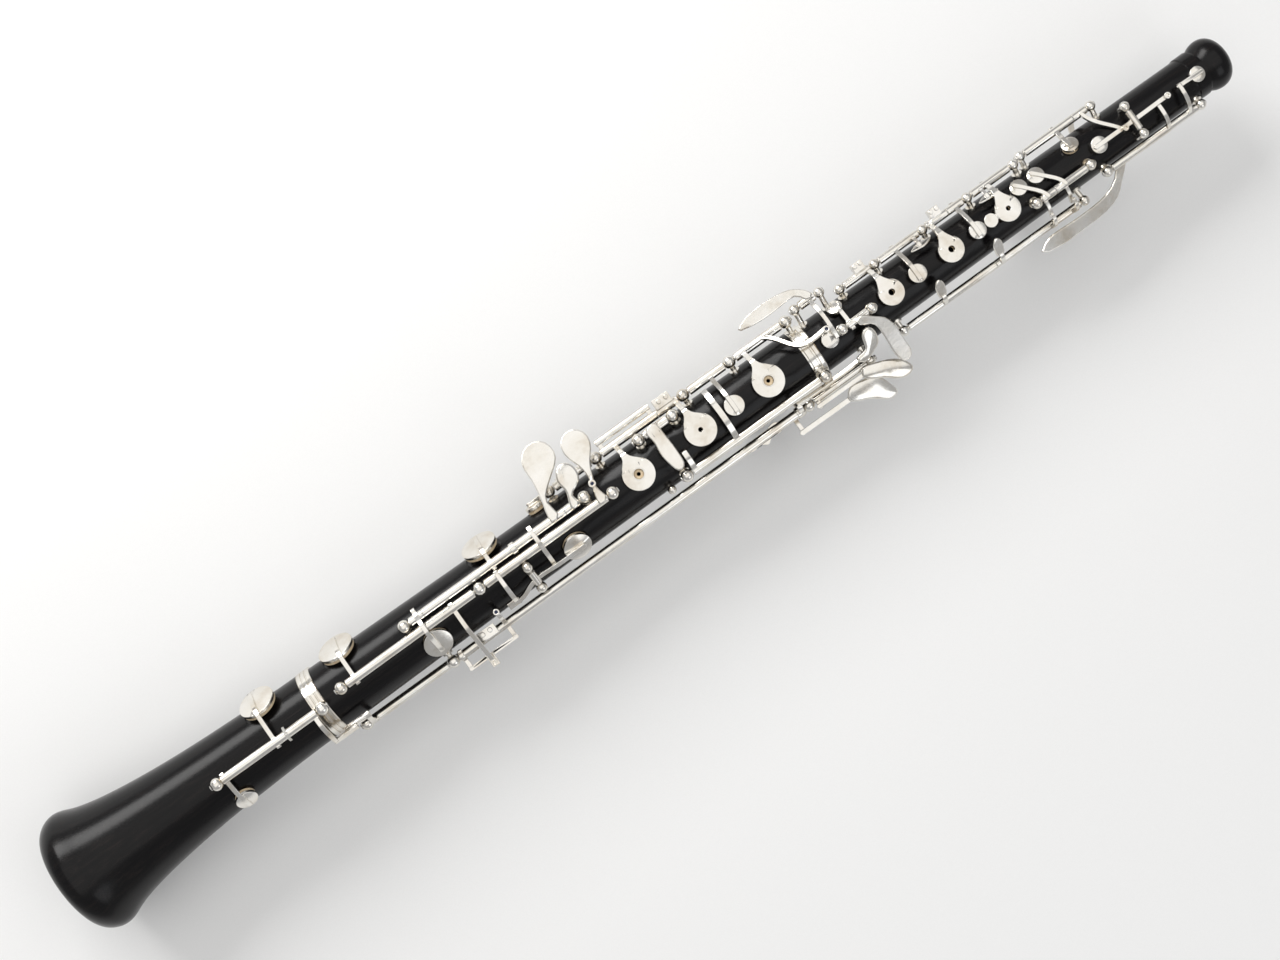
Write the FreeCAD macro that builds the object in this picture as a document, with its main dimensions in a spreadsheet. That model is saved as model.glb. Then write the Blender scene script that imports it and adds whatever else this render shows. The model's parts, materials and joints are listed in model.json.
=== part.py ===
import FreeCAD, Part
import math
import os
import Sketcher
from FreeCAD import Placement, Rotation, Vector

# Oboe, full conservatoire keywork. All sizes in millimetres.
# +X runs up the instrument to the mouth of the reed well, which is the origin.
# +Z is the side of the finger plates, and +Y is the player's right-hand side.
# "Distance" always means the distance down from the reed end, so x = -distance.

os.makedirs("parts", exist_ok=True)
doc = FreeCAD.newDocument("oboe")

SIZES = {
    # joints, as distances
    "body_length": 596.0,
    "bell_start": 474.0,
    "bell_ring_start": 467.7,
    "lower_wood_start": 224.5,
    "lower_ring_start": 218.1,
    "upper_tenon_end": 236.0,
    "lower_tenon_end": 485.0,
    # outside radii of the wood
    "finial_r": 11.7,
    "finial_distance": 6.6,
    "neck_r": 9.6,
    "bead_r": 10.5,
    "upper_top_r": 10.1,
    "upper_bottom_r": 11.8,
    "lower_top_r": 12.5,
    "lower_mid_r": 13.3,
    "lower_bottom_r": 14.6,
    "bell_top_r": 15.1,
    "bell_rim_r": 27.2,
    "bell_rim_distance": 587.5,
    "bell_mouth_r": 18.6,
    # bores
    "reed_well_r": 3.45,
    "reed_well_depth": 23.0,
    "reed_liner_r": 4.3,
    "bore_top_r": 2.1,
    "bore_joint_r": 5.0,
    "bore_bell_r": 7.9,
    "upper_tenon_r": 8.6,
    "lower_tenon_r": 10.4,
    "tenon_cork_depth": 0.9,
    # metal rings
    "lower_ring_r": 12.95,
    "lower_ring_inner_r": 10.7,
    "bell_ring_r": 15.4,
    "bell_ring_inner_r": 12.9,
    # keywork stock
    "rod_r": 0.9,
    "rod_bore_r": 0.95,
    "lower_tube_r": 1.95,
    "upper_tube_r": 1.75,
    "lower_ball_r": 2.8,
    "upper_ball_r": 2.35,
    "stem_r": 1.25,
    "collar_r": 2.3,
    "cup_height": 1.9,
    "dome_rise": 0.5,
    "pad_height": 1.5,
    "pad_inset": 0.35,
    "seat_depth": 0.45,
    "closed_gap": 0.12,
    "open_gap": 1.9,
    "arm_width": 1.9,
    "arm_depth": 1.5,
    "touch_height": 1.5,
}

# Hinge lines, all parallel to X: (y, z)
LINES = {
    "bell_line": (-2.2, 20.0),
    "b_line": (0.0, 17.8),
    "c_line": (5.3, 16.8),
    "plate_line": (16.0, 8.0),
    "f_line": (11.5, 12.6),
    "cross_line": (-12.3, 11.0),
    "b_lever_line": (-18.3, 2.5),
    "bell_lever_line": (-18.3, -3.6),
    "g_sharp_line": (-0.6, 15.0),
    "left_line": (13.8, 8.5),
    "side_line": (17.8, 10.5),
    "trill_line": (-16.3, 3.0),
    "trill_cup_line": (-5.4, 13.4),
    "d_trill_line": (15.0, 7.0),
    "octave_line": (-12.0, 6.0),
}

# Hinge tubes: key name -> (line, distance of the upper end, distance of the lower end)
TUBES = {
    "bell_key": ("bell_line", 472.4, 518.8),
    "low_b_key": ("b_line", 393.0, 456.1),
    "e_flat_touch_key": ("b_line", 326.0, 387.0),
    "low_c_key": ("c_line", 343.4, 414.6),
    "low_b_lever": ("b_lever_line", 236.6, 414.2),
    "left_e_flat_lever": ("b_lever_line", 203.6, 230.6),
    "low_b_flat_lever": ("bell_lever_line", 239.8, 459.0),
    "f_resonance_key": ("plate_line", 322.9, 341.0),
    "d_plate_key": ("plate_line", 288.6, 317.0),
    "e_plate_key": ("plate_line", 278.0, 288.4),
    "f_vent_key": ("plate_line", 253.9, 272.0),
    "f_sharp_plate_key": ("plate_line", 224.9, 248.0),
    "f_touch_key": ("f_line", 286.9, 298.4),
    "f_cross_lever": ("cross_line", 225.1, 290.3),
    "side_trill_key": ("side_line", 206.2, 213.8),
    "g_sharp_key": ("g_sharp_line", 192.7, 202.8),
    "g_plate_key": ("left_line", 179.7, 192.9),
    "a_vent_key": ("left_line", 154.6, 174.7),
    "a_plate_key": ("left_line", 139.2, 149.6),
    "b_vent_key": ("left_line", 131.1, 139.0),
    "half_hole_key": ("left_line", 106.7, 126.1),
    "first_trill_lever": ("trill_line", 103.3, 133.4),
    "second_trill_lever": ("trill_line", 133.6, 179.6),
    "first_trill_key": ("trill_cup_line", 97.6, 104.5),
    "second_trill_key": ("trill_cup_line", 81.2, 97.4),
    "d_trill_key": ("d_trill_line", 71.4, 96.8),
    "thumb_octave_lever": ("d_trill_line", 64.3, 71.2),
    "side_octave_key": ("octave_line", 24.2, 69.2),
}

# Posts: joint -> list of (line, distance)
LOWER_POSTS = [
    ("b_line", 459.0), ("b_line", 390.0), ("b_line", 323.0), ("c_line", 424.0), ("c_line", 333.5),
    ("bell_lever_line", 462.0), ("b_lever_line", 417.2), ("bell_lever_line", 236.8), ("b_lever_line", 233.6),
    ("plate_line", 344.0), ("plate_line", 320.0), ("plate_line", 275.0), ("plate_line", 251.0),
    ("plate_line", 222.0), ("f_line", 301.4), ("f_line", 283.9), ("cross_line", 293.3), ("cross_line", 222.1),
]
UPPER_POSTS = [
    ("side_line", 203.6), ("side_line", 216.4), ("g_sharp_line", 205.4), ("g_sharp_line", 190.1),
    ("b_lever_line", 201.0), ("left_line", 195.4), ("left_line", 177.2), ("left_line", 152.1),
    ("left_line", 128.6), ("left_line", 104.2), ("trill_line", 182.1), ("trill_line", 86.2),
    ("trill_cup_line", 107.0), ("trill_cup_line", 78.7), ("d_trill_line", 99.3), ("d_trill_line", 61.8),
    ("octave_line", 71.7), ("octave_line", 21.7),
]
BELL_POSTS = [("bell_line", 521.4), ("bell_line", 469.7)]

def fill_sheet():
    """One cell per driving size, line coordinate and tube end, each with its alias."""
    cells = dict(SIZES)
    for line, (across, up) in LINES.items():
        cells[line + "_y"] = across
        cells[line + "_z"] = up
    for name, (_, top, bottom) in TUBES.items():
        cells[name + "_top"] = top
        cells[name + "_bottom"] = bottom
    table = doc.addObject("Spreadsheet::Sheet", "dims")
    for row, (alias, value) in enumerate(cells.items(), start=1):
        table.set(f"A{row}", alias)
        table.set(f"B{row}", str(value))
        table.setAlias(f"B{row}", alias)
    doc.recompute()
    return table


sheet = fill_sheet()
exported = []


def dim(alias):
    """The value of a cell of the sheet."""
    return float(sheet.get(alias))


def point(distance, across, up):
    """A point given by its distance down the instrument and its place in the cross-section."""
    return Vector(-distance, across, up)


def radial(degrees):
    """Unit vector away from the axis, turned from +Z towards +Y."""
    angle = math.radians(degrees)
    return Vector(0, math.sin(angle), math.cos(angle))


def tangent(degrees):
    """Unit vector along the surface in the cross-section, towards growing angle."""
    angle = math.radians(degrees)
    return Vector(0, math.cos(angle), -math.sin(angle))


def on_line(line, distance):
    """A point of a hinge line."""
    return point(distance, dim(line + "_y"), dim(line + "_z"))


def wood_r(distance):
    """Outside radius of the wood."""
    stations = [
        (0, 9.0), (dim("finial_distance"), dim("finial_r")), (21, dim("upper_top_r")),
        (dim("lower_ring_start"), dim("upper_bottom_r")), (dim("lower_wood_start"), dim("lower_top_r")),
        (381, dim("lower_mid_r")), (dim("bell_ring_start"), dim("lower_bottom_r")),
        (489, dim("bell_top_r") + 0.3), (530, dim("bell_top_r") + 2.1),
    ]
    for (near, near_r), (far, far_r) in zip(stations, stations[1:]):
        if distance <= far:
            return near_r + (far_r - near_r) * (distance - near) / (far - near)
    return stations[-1][1]


# ---------------------------------------------------------------- primitives

def bind(obj, **expressions):
    """Bind properties of an object to expressions."""
    for path, expression in expressions.items():
        obj.setExpression(path.replace("__", "."), expression)
    return obj


def cylinder(name, radius, height, base, direction):
    """Cylinder from a base point along a direction; radius and height are expressions."""
    obj = doc.addObject("Part::Cylinder", name)
    bind(obj, Radius=radius, Height=height)
    obj.Placement = Placement(base, Rotation(Vector(0, 0, 1), direction))
    return obj


def cone(name, wide_r, narrow_r, height, base, direction):
    obj = doc.addObject("Part::Cone", name)
    obj.Radius1, obj.Radius2, obj.Height = wide_r, narrow_r, height
    obj.Placement = Placement(base, Rotation(Vector(0, 0, 1), direction))
    return obj


def sphere(name, radius, centre):
    obj = doc.addObject("Part::Sphere", name)
    bind(obj, Radius=radius)
    obj.Placement = Placement(centre, Rotation())
    return obj


def box(name, size, centre, turn=Rotation()):
    """Box of the given size about its centre, turned if asked."""
    obj = doc.addObject("Part::Box", name)
    obj.Length, obj.Width, obj.Height = size
    half = Vector(size[0] / 2, size[1] / 2, size[2] / 2)
    obj.Placement = Placement(centre - turn.multVec(half), turn)
    return obj


def feature(name, shape, placement=Placement()):
    """Free-form piece whose shape comes from Part's functions."""
    obj = doc.addObject("Part::Feature", name)
    obj.Shape = shape
    obj.Placement = placement
    return obj


def fuse(name, pieces):
    obj = doc.addObject("Part::MultiFuse", name)
    obj.Shapes = pieces
    return obj


def cut(name, base, tool):
    obj = doc.addObject("Part::Cut", name)
    obj.Base = base
    obj.Tool = tool
    return obj


def common(name, first, second):
    obj = doc.addObject("Part::Common", name)
    obj.Base = first
    obj.Tool = second
    return obj


def group(label, pieces):
    """Several separate solids that make one node."""
    obj = doc.addObject("Part::Compound", label)
    obj.Links = pieces
    return finish(label, obj)


def finish(label, obj):
    """Give a sub-part its label and put it on the list of files to write."""
    obj.Label = label
    exported.append(obj)
    return obj


# ---------------------------------------------------------------- turned pieces

def turned(name, outline, curve=()):
    """
    Body turned about the axis. The outline is a closed list of (distance, radius) expressions,
    every corner bound to the sheet. The corners from curve[0] to curve[-1] are joined by one
    smooth curve through the extra (distance, radius) numbers in between.
    """
    body = doc.addObject("PartDesign::Body", name)
    sketch = body.newObject("Sketcher::SketchObject", name + "_outline")
    plane = [item for item in body.Origin.OriginFeatures if item.Role == "XY_Plane"][0]
    sketch.AttachmentSupport = [(plane, "")]
    sketch.MapMode = "FlatFace"
    corners = [Vector(value(along), value(radius), 0) for along, radius in outline]
    count = len(corners)
    for index in range(count):
        start, end = corners[index], corners[(index + 1) % count]
        if curve and index == curve[0]:
            spline = Part.BSplineCurve()
            spline.interpolate([start] + [Vector(*pair, 0) for pair in curve[1]] + [end])
            sketch.addGeometry(spline, False)
        else:
            sketch.addGeometry(Part.LineSegment(start, end), False)
    for index in range(count):
        if not (curve and index == curve[0]):
            for direction, text in zip(("DistanceX", "DistanceY"), outline[index]):
                size = corners[index].x if direction == "DistanceX" else corners[index].y
                number = sketch.addConstraint(Sketcher.Constraint(direction, -1, 1, index, 1, size))
                sketch.setExpression(f"Constraints[{number}]", text)
        if not (curve and index in (curve[0], curve[0] - 1)):
            sketch.addConstraint(Sketcher.Constraint("Coincident", index, 2, (index + 1) % count, 1))
    turn = body.newObject("PartDesign::Revolution", name + "_turned")
    turn.Profile = sketch
    turn.ReferenceAxis = (sketch, ["H_Axis"])
    turn.Angle = 360
    body.Tip = turn
    body.Placement = Placement(Vector(), Rotation(Vector(0, 0, 1), 180))
    doc.recompute()
    return body


def value(expression):
    """Number that an expression of sheet cells stands for."""
    total = 0.0
    for term in expression.replace("- ", "+ -").split("+ "):
        term = term.strip()
        sign = -1.0 if term.startswith("-") else 1.0
        term = term.lstrip("-").strip()
        total += sign * (dim(term[5:]) if term.startswith("dims.") else float(term))
    return total


def tone_hole(name, distance, degrees, hole_r, seat_r):
    """Drilling through the wall with a shallow flat seat for the pad."""
    depth = wood_r(distance) - dim("seat_depth")
    start = point(distance, 0, 0)
    drill = cylinder(name + "_drill", str(hole_r), "25", start, radial(degrees))
    seat = cylinder(name + "_seat", str(seat_r), "8", start + radial(degrees) * depth, radial(degrees))
    return [drill, seat]


# ---------------------------------------------------------------- keywork pieces

def tube(key_name, radius="dims.lower_tube_r"):
    """Hinge tube of a key, its ends and its line bound to the sheet."""
    line, top, bottom = TUBES[key_name]
    obj = cylinder(key_name + "_tube", radius, f"dims.{key_name}_bottom - dims.{key_name}_top",
                   on_line(line, bottom), Vector(1, 0, 0))
    bind(obj, Placement__Base__x=f"-dims.{key_name}_bottom", Placement__Base__y=f"dims.{line}_y",
         Placement__Base__z=f"dims.{line}_z")
    return obj


def finish_key(key_name, pieces, extra_bores=()):
    """Fuse the pieces of a key and bore it for its rod."""
    line, top, bottom = TUBES[key_name]
    whole = fuse(key_name + "_whole", pieces)
    bore = cylinder(key_name + "_bore", "dims.rod_bore_r",
                    f"dims.{key_name}_bottom - dims.{key_name}_top + 4", on_line(line, bottom + 2),
                    Vector(1, 0, 0))
    tool = bore if not extra_bores else fuse(key_name + "_bores", [bore, *extra_bores])
    return finish(key_name, cut(key_name, whole, tool))


def ribbon(path, half, up):
    """Flat face that follows a path in a plane, pointed at both ends; half is the half width."""
    centre = Part.BSplineCurve()
    centre.interpolate(path)
    first, last = centre.FirstParameter, centre.LastParameter
    steps = 3 * (len(path) - 1)
    left, right = [], []
    for step in range(steps + 1):
        at = first + (last - first) * step / steps
        side = up.cross(centre.tangent(at)[0]).normalize()
        spread = half[0] + (half[1] - half[0]) * step / steps
        left.append(centre.value(at) + side * spread)
        right.append(centre.value(at) - side * spread)
    tip = path[-1] + centre.tangent(last)[0] * half[1] * 0.8
    tail = path[0] - centre.tangent(first)[0] * half[0] * 0.8
    return Part.Face(Part.makePolygon([tail, *left, tip, *right[::-1], tail]))


def cross_arm(name, distance, path, width=None, depth=None, end_depth=None):
    """Key arm in the plane of a cross-section, through the (y, z) points of the path."""
    width = width or dim("arm_width")
    depth = depth or dim("arm_depth")
    face = ribbon([point(distance + width / 2, *pair) for pair in path],
                  (depth / 2, (end_depth or depth) / 2), Vector(1, 0, 0))
    return feature(name, face.extrude(Vector(width, 0, 0)))


def long_arm(name, path, height, width=None, end_width=None, lean=0.0):
    """
    Key arm seen from the front, through (distance, y) points at one height. Lean turns it about
    the instrument's axis, in degrees towards +Y.
    """
    width = width or dim("arm_width")
    depth = dim("arm_depth")
    face = ribbon([point(distance, across, height - depth) for distance, across in path],
                  (width / 2, (end_width or width) / 2), Vector(0, 0, 1))
    solid = face.extrude(Vector(0, 0, depth))
    return feature(name, solid, Placement(Vector(), Rotation(Vector(1, 0, 0), -lean)))


def inset(corners, amount):
    """The corners of a closed flat outline moved inwards, every side staying parallel."""
    moved = []
    for before, corner, after in zip(corners[-1:] + corners[:-1], corners, corners[1:] + corners[:1]):
        one = (corner - before).normalize()
        two = (after - corner).normalize()
        bisector = Vector(-one.y - two.y, one.x + two.x, 0).normalize()
        reach = amount / max(0.5, bisector.x * -one.y + bisector.y * one.x)
        moved.append(corner + bisector * reach)
    return moved


def leaf(name, outline, origin, slope, height=None, edge=0.4):
    """
    Touch for a finger: a smooth closed outline of (outward, downward) points with bevelled edges.
    Outward is +Y tilted down by the slope in degrees; downward is along growing distance.
    """
    height = height or dim("touch_height")
    curve = Part.BSplineCurve()
    curve.interpolate(Points=[Vector(out, down, 0) for out, down in outline], PeriodicFlag=True)
    count = 30
    span = curve.LastParameter - curve.FirstParameter
    corners = [curve.value(curve.FirstParameter + span * number / count) for number in range(count)]
    turning = sum(one.x * two.y - one.y * two.x for one, two in zip(corners, corners[1:] + corners[:1]))
    if turning < 0:
        corners.reverse()
    if edge:
        inner = inset(corners, edge)
        rings = [(inner, 0), (corners, edge), (corners, height - edge), (inner, height)]
    else:
        rings = [(corners, 0), (corners, height)]
    levels = [[corner + Vector(0, 0, up) for corner in ring] for ring, up in rings]
    faces = [Part.Face(Part.makePolygon(level + level[:1])) for level in (levels[0], levels[-1])]
    for low, high in zip(levels, levels[1:]):
        for number in range(count):
            after = (number + 1) % count
            side = [low[number], low[after], high[after], high[number], low[number]]
            faces.append(Part.Face(Part.makePolygon(side)))
    solid = Part.Solid(Part.Shell(faces))
    if solid.Volume < 0:
        solid.reverse()
    turn = Rotation(tangent(slope), Vector(-1, 0, 0), radial(slope), "ZXY")
    return feature(name, solid, Placement(origin, turn))


def cup(name, distance, degrees, cup_r, gap="dims.open_gap", hole_r=0.0, height="dims.cup_height"):
    """
    Domed pad cup square to the axis at its angle, its pad under it, and the radius of its top.
    Returns (cup, pad, top radius).
    """
    away = radial(degrees)
    low = wood_r(distance) - dim("seat_depth") + value(gap)
    base = point(distance, 0, 0) + away * (low + dim("pad_height"))
    rise = dim("dome_rise")
    wall = cylinder(name + "_wall", str(cup_r), f"{height} - dims.dome_rise", base, away)
    dome = cone(name + "_dome", cup_r, 0.5 * cup_r, rise, base + away * (value(height) - rise), away)
    shell = fuse(name + "_shell", [wall, dome])
    pad = cylinder(name + "_disc", f"{cup_r} - dims.pad_inset", "dims.pad_height",
                   point(distance, 0, 0) + away * low, away)
    if hole_r:
        vent = cylinder(name + "_vent", str(hole_r), "20", point(distance, 0, 0) + away * (low - 2), away)
        pad_vent = cylinder(name + "_pad_vent", str(hole_r), "20",
                            point(distance, 0, 0) + away * (low - 2), away)
        shell = cut(name + "_open", shell, vent)
        pad = cut(name + "_open_pad", pad, pad_vent)
    return shell, pad, low + dim("pad_height") + value(height)


def cup_arm(name, line, distance, degrees, top_r, cup_r, width=None, over=0.6, bow=0.8):
    """Arm from a hinge line over the back of a cup, with a short tail past the tube."""
    start = on_line(line, distance)
    sign = 1.0 if math.degrees(math.atan2(start.y, start.z)) < degrees else -1.0
    ride_r = top_r + 0.25
    near = point(distance, 0, 0) + radial(degrees) * ride_r - tangent(degrees) * (sign * 0.8 * cup_r)
    middle = point(distance, 0, 0) + radial(degrees) * (ride_r + 0.1)
    far = point(distance, 0, 0) + radial(degrees) * (ride_r - 0.15) + tangent(degrees) * (sign * over * cup_r)
    bend = (start + near) * 0.5
    outward = Vector(0, bend.y, bend.z).normalize()
    tail = start - (near - start).normalize() * (dim("lower_tube_r") + 0.35)
    path = [tail, start + outward * 0.2, bend + outward * bow, near, middle, far]
    return cross_arm(name, distance, [(item.y, item.z) for item in path], width)


def flared_arm(name, line, distance, plate_distance, plate_r, top_r, waist=1.3):
    """Arm that widens like a trumpet from the tube into a finger plate on top of the tube body."""
    start = on_line(line, distance)
    path = [(start.y + 1.6, start.z - 1.9), (start.y, start.z), (start.y - 3.0, start.z + 4.2),
            (plate_r + 2.2, top_r - 0.9), (plate_r - 0.4, top_r - 1.0), (plate_r - 3.2, top_r - 1.05)]
    run = cross_arm(name + "_run", distance, path, 4 * plate_r, 1.5)
    across = start.y
    shift = plate_distance - distance
    outline = [(across + 3.4, 0), (across, waist * 0.8), (plate_r + 4.6, waist * 0.85),
               (plate_r + 1.2, waist * 1.5 + shift * 0.3), (plate_r - 1.4, plate_r * 0.62 + shift * 0.7),
               (plate_r - 4.4, plate_r * 0.84 + shift), (plate_r - 4.8, shift),
               (plate_r - 4.4, -plate_r * 0.84 + shift), (plate_r - 1.4, -plate_r * 0.62 + shift * 0.7),
               (plate_r + 1.2, -waist * 1.5 + shift * 0.3), (plate_r + 4.6, -waist * 0.85),
               (across, -waist * 0.8)]
    flare = leaf(name + "_flare", outline, point(distance, 0, -2), 0, height=30, edge=0)
    return common(name, run, flare)


def barrel(name, distance, across, up, radius=1.35, height=3.2):
    """Upright barrel that carries an adjusting screw, and the drilling for the screw."""
    wall = cylinder(name + "_wall", str(radius), str(height), point(distance, across, up), Vector(0, 0, 1))
    drill = cylinder(name + "_drill", "0.7", "1.2", point(distance, across, up + height - 0.8),
                     Vector(0, 0, 1))
    return cut(name, wall, drill)


def post(name, line, distance, ball_r):
    """Pillar: ball at the hinge line, stem and foot collar down to the wood."""
    centre = on_line(line, distance)
    inward = Vector(0, -centre.y, -centre.z).normalize()
    reach = math.hypot(centre.y, centre.z) - wood_r(distance)
    ball = sphere(name + "_ball", ball_r, centre)
    stem = cylinder(name + "_stem", "dims.stem_r", str(reach + 1.0), centre, inward)
    collar = cylinder(name + "_collar", "dims.collar_r", "1.6", centre + inward * (reach - 0.9), inward)
    return fuse(name, [ball, stem, collar])


# ---------------------------------------------------------------- wood, rings and fittings

def upper_joint():
    wood = turned(
        "upper_joint_turning",
        [("0", "6.4"), ("11.8", "dims.neck_r"), ("12.7", "dims.neck_r"), ("13.1", "dims.bead_r"),
         ("18.5", "dims.bead_r"), ("19.0", "dims.upper_top_r"),
         ("dims.lower_ring_start", "dims.upper_bottom_r"), ("dims.lower_ring_start", "dims.upper_tenon_r"),
         ("220.6", "dims.upper_tenon_r"), ("220.6", "dims.upper_tenon_r - dims.tenon_cork_depth"),
         ("233.4", "dims.upper_tenon_r - dims.tenon_cork_depth"), ("233.4", "dims.upper_tenon_r"),
         ("dims.upper_tenon_end", "dims.upper_tenon_r"), ("dims.upper_tenon_end", "dims.bore_joint_r"),
         ("dims.reed_well_depth", "dims.bore_top_r"), ("dims.reed_well_depth", "dims.reed_liner_r"),
         ("0", "dims.reed_liner_r")],
        (0, [(1.1, 9.4), (3.4, 11.2), (dim("finial_distance"), dim("finial_r")), (9.2, 11.1), (10.9, 10.2)]),
    )
    holes = []
    for name, distance, degrees, hole_r, seat_r in [
        ("side_octave", 18.3, -3, 0.6, 3.8), ("first_octave", 70.6, -3, 0.6, 4.0),
        ("d_trill", 80.0, 32, 1.6, 4.1), ("second_trill", 100.1, 20, 1.6, 4.1),
        ("first_trill", 109.1, 20, 1.6, 4.1), ("half_hole", 118.7, 0, 1.6, 6.0),
        ("b_vent", 134.5, 0, 1.5, 4.1), ("a_plate", 148.4, 0, 1.9, 6.0), ("a_vent", 165.9, 0, 1.7, 4.4),
        ("g_plate", 179.6, 0, 2.1, 6.0), ("g_sharp", 202.0, 40, 2.3, 3.9), ("side_trill", 211.9, -4, 2.0, 4.1),
    ]:
        holes += tone_hole(name, distance, degrees, hole_r, seat_r)
    finish("upper_joint_body", cut("upper_joint_body", wood, fuse("upper_tone_holes", holes)))
    liner = turned("reed_well_liner", [
        ("0", "dims.reed_well_r"), ("0", "dims.reed_liner_r"), ("dims.reed_well_depth", "dims.reed_liner_r"),
        ("dims.reed_well_depth", "dims.reed_well_r")])
    finish("reed_well_liner", liner)
    cork = turned("upper_tenon_cork", [
        ("220.6", "dims.upper_tenon_r - dims.tenon_cork_depth"), ("220.6", "dims.upper_tenon_r"),
        ("233.4", "dims.upper_tenon_r"), ("233.4", "dims.upper_tenon_r - dims.tenon_cork_depth")])
    finish("upper_tenon_cork", cork)
    return wood


def lower_joint():
    wood = turned("lower_joint_turning", [
        ("218.7", "dims.upper_tenon_r"), ("218.7", "dims.lower_ring_inner_r"),
        ("dims.lower_wood_start", "dims.lower_ring_inner_r"), ("dims.lower_wood_start", "dims.lower_top_r"),
        ("381", "dims.lower_mid_r"), ("dims.bell_ring_start", "dims.lower_bottom_r"),
        ("dims.bell_ring_start", "dims.lower_tenon_r"), ("470.6", "dims.lower_tenon_r"),
        ("470.6", "dims.lower_tenon_r - dims.tenon_cork_depth"),
        ("482.4", "dims.lower_tenon_r - dims.tenon_cork_depth"), ("482.4", "dims.lower_tenon_r"),
        ("dims.lower_tenon_end", "dims.lower_tenon_r"), ("dims.lower_tenon_end", "dims.bore_bell_r"),
        ("dims.upper_tenon_end", "dims.bore_joint_r"), ("dims.upper_tenon_end", "dims.upper_tenon_r")])
    holes = []
    for name, distance, degrees, hole_r, seat_r in [
        ("f_sharp_plate", 243.3, 0, 2.6, 7.4), ("f_vent", 260.9, 0, 2.2, 4.8), ("e_plate", 278.2, 0, 2.8, 7.4),
        ("d_plate", 309.6, 0, 3.0, 7.4), ("e_flat", 347.4, -39, 3.6, 6.6), ("f_resonance", 352.0, 78, 2.4, 4.8),
        ("low_c", 380.5, 60, 4.6, 8.4), ("c_sharp", 416.8, -31, 3.8, 6.7), ("low_b", 452.7, 59, 4.9, 8.4),
    ]:
        holes += tone_hole(name, distance, degrees, hole_r, seat_r)
    finish("lower_joint_body", cut("lower_joint_body", wood, fuse("lower_tone_holes", holes)))
    ring = turned("middle_ring", [
        ("dims.lower_ring_start", "dims.upper_tenon_r"), ("dims.lower_ring_start", "dims.lower_ring_r - 0.5"),
        ("dims.lower_ring_start + 0.5", "dims.lower_ring_r"),
        ("dims.lower_ring_start + 1.9", "dims.lower_ring_r"),
        ("dims.lower_ring_start + 2.2", "dims.lower_ring_r - 0.6"),
        ("dims.lower_ring_start + 2.9", "dims.lower_ring_r - 0.6"),
        ("dims.lower_ring_start + 3.2", "dims.lower_ring_r - 0.1"),
        ("dims.lower_wood_start - 1.0", "dims.lower_ring_r - 0.1"),
        ("dims.lower_wood_start - 0.7", "dims.lower_ring_r - 0.4"),
        ("dims.lower_wood_start", "dims.lower_ring_r - 0.4"),
        ("dims.lower_wood_start", "dims.lower_ring_inner_r"), ("218.7", "dims.lower_ring_inner_r"),
        ("218.7", "dims.upper_tenon_r")])
    finish("middle_ring", ring)
    cork = turned("lower_tenon_cork", [
        ("470.6", "dims.lower_tenon_r - dims.tenon_cork_depth"), ("470.6", "dims.lower_tenon_r"),
        ("482.4", "dims.lower_tenon_r"), ("482.4", "dims.lower_tenon_r - dims.tenon_cork_depth")])
    finish("lower_tenon_cork", cork)
    return wood


def bell():
    rim = (dim("bell_rim_distance"), dim("bell_rim_r"))
    wood = turned(
        "bell_turning",
        [("dims.bell_start", "dims.bell_top_r"), ("dims.body_length", "20.9"),
         ("dims.body_length", "dims.bell_mouth_r"), ("592", "18.0"), ("578", "16.4"), ("560", "13.8"),
         ("540", "11.6"), ("515", "9.8"), ("dims.lower_tenon_end", "dims.bore_bell_r"),
         ("dims.lower_tenon_end", "dims.lower_tenon_r"), ("468.4", "dims.lower_tenon_r"),
         ("468.4", "dims.bell_ring_inner_r"), ("dims.bell_start", "dims.bell_ring_inner_r")],
        (0, [(489, 15.35), (509, 16.1), (530, 17.2), (550, 19.0), (564, 20.9), (574, 22.9), (581, 25.1), rim,
             (591.6, 26.3), (594.6, 24.0)]),
    )
    holes = tone_hole("bell_hole", 491.2, 54, 5.0, 8.4) + tone_hole("bell_vent_hole", 517.0, -50, 2.0, 5.1)
    finish("bell_body", cut("bell_body", wood, fuse("bell_tone_holes", holes)))
    start = "dims.bell_ring_start"
    outline = [(start, "dims.lower_tenon_r"), (start, "dims.bell_ring_r - 0.4")]
    for band in range(3):
        near = 0.35 + 2.0 * band
        outline += [(f"{start} + {near:.2f}", "dims.bell_ring_r"), (f"{start} + {near + 1.2:.2f}", "dims.bell_ring_r"),
                    (f"{start} + {near + 1.5:.2f}", "dims.bell_ring_r - 0.5"),
                    (f"{start} + {near + 1.8:.2f}", "dims.bell_ring_r - 0.5")]
    outline += [("dims.bell_start", "dims.bell_ring_r - 0.3"), ("dims.bell_start", "dims.bell_ring_inner_r"),
                ("468.4", "dims.bell_ring_inner_r"), ("468.4", "dims.lower_tenon_r")]
    finish("bell_ring", turned("bell_ring", outline))
    return wood


def straight_post(name, base_angle, foot, ball_r, reach):
    """Pillar for a hinge across the instrument: stems stand side by side, not towards the axis."""
    inward = radial(base_angle) * -1
    ball = sphere(name + "_ball", ball_r, foot)
    stem = cylinder(name + "_stem", "dims.stem_r", str(reach), foot, inward)
    return fuse(name, [ball, stem])


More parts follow.
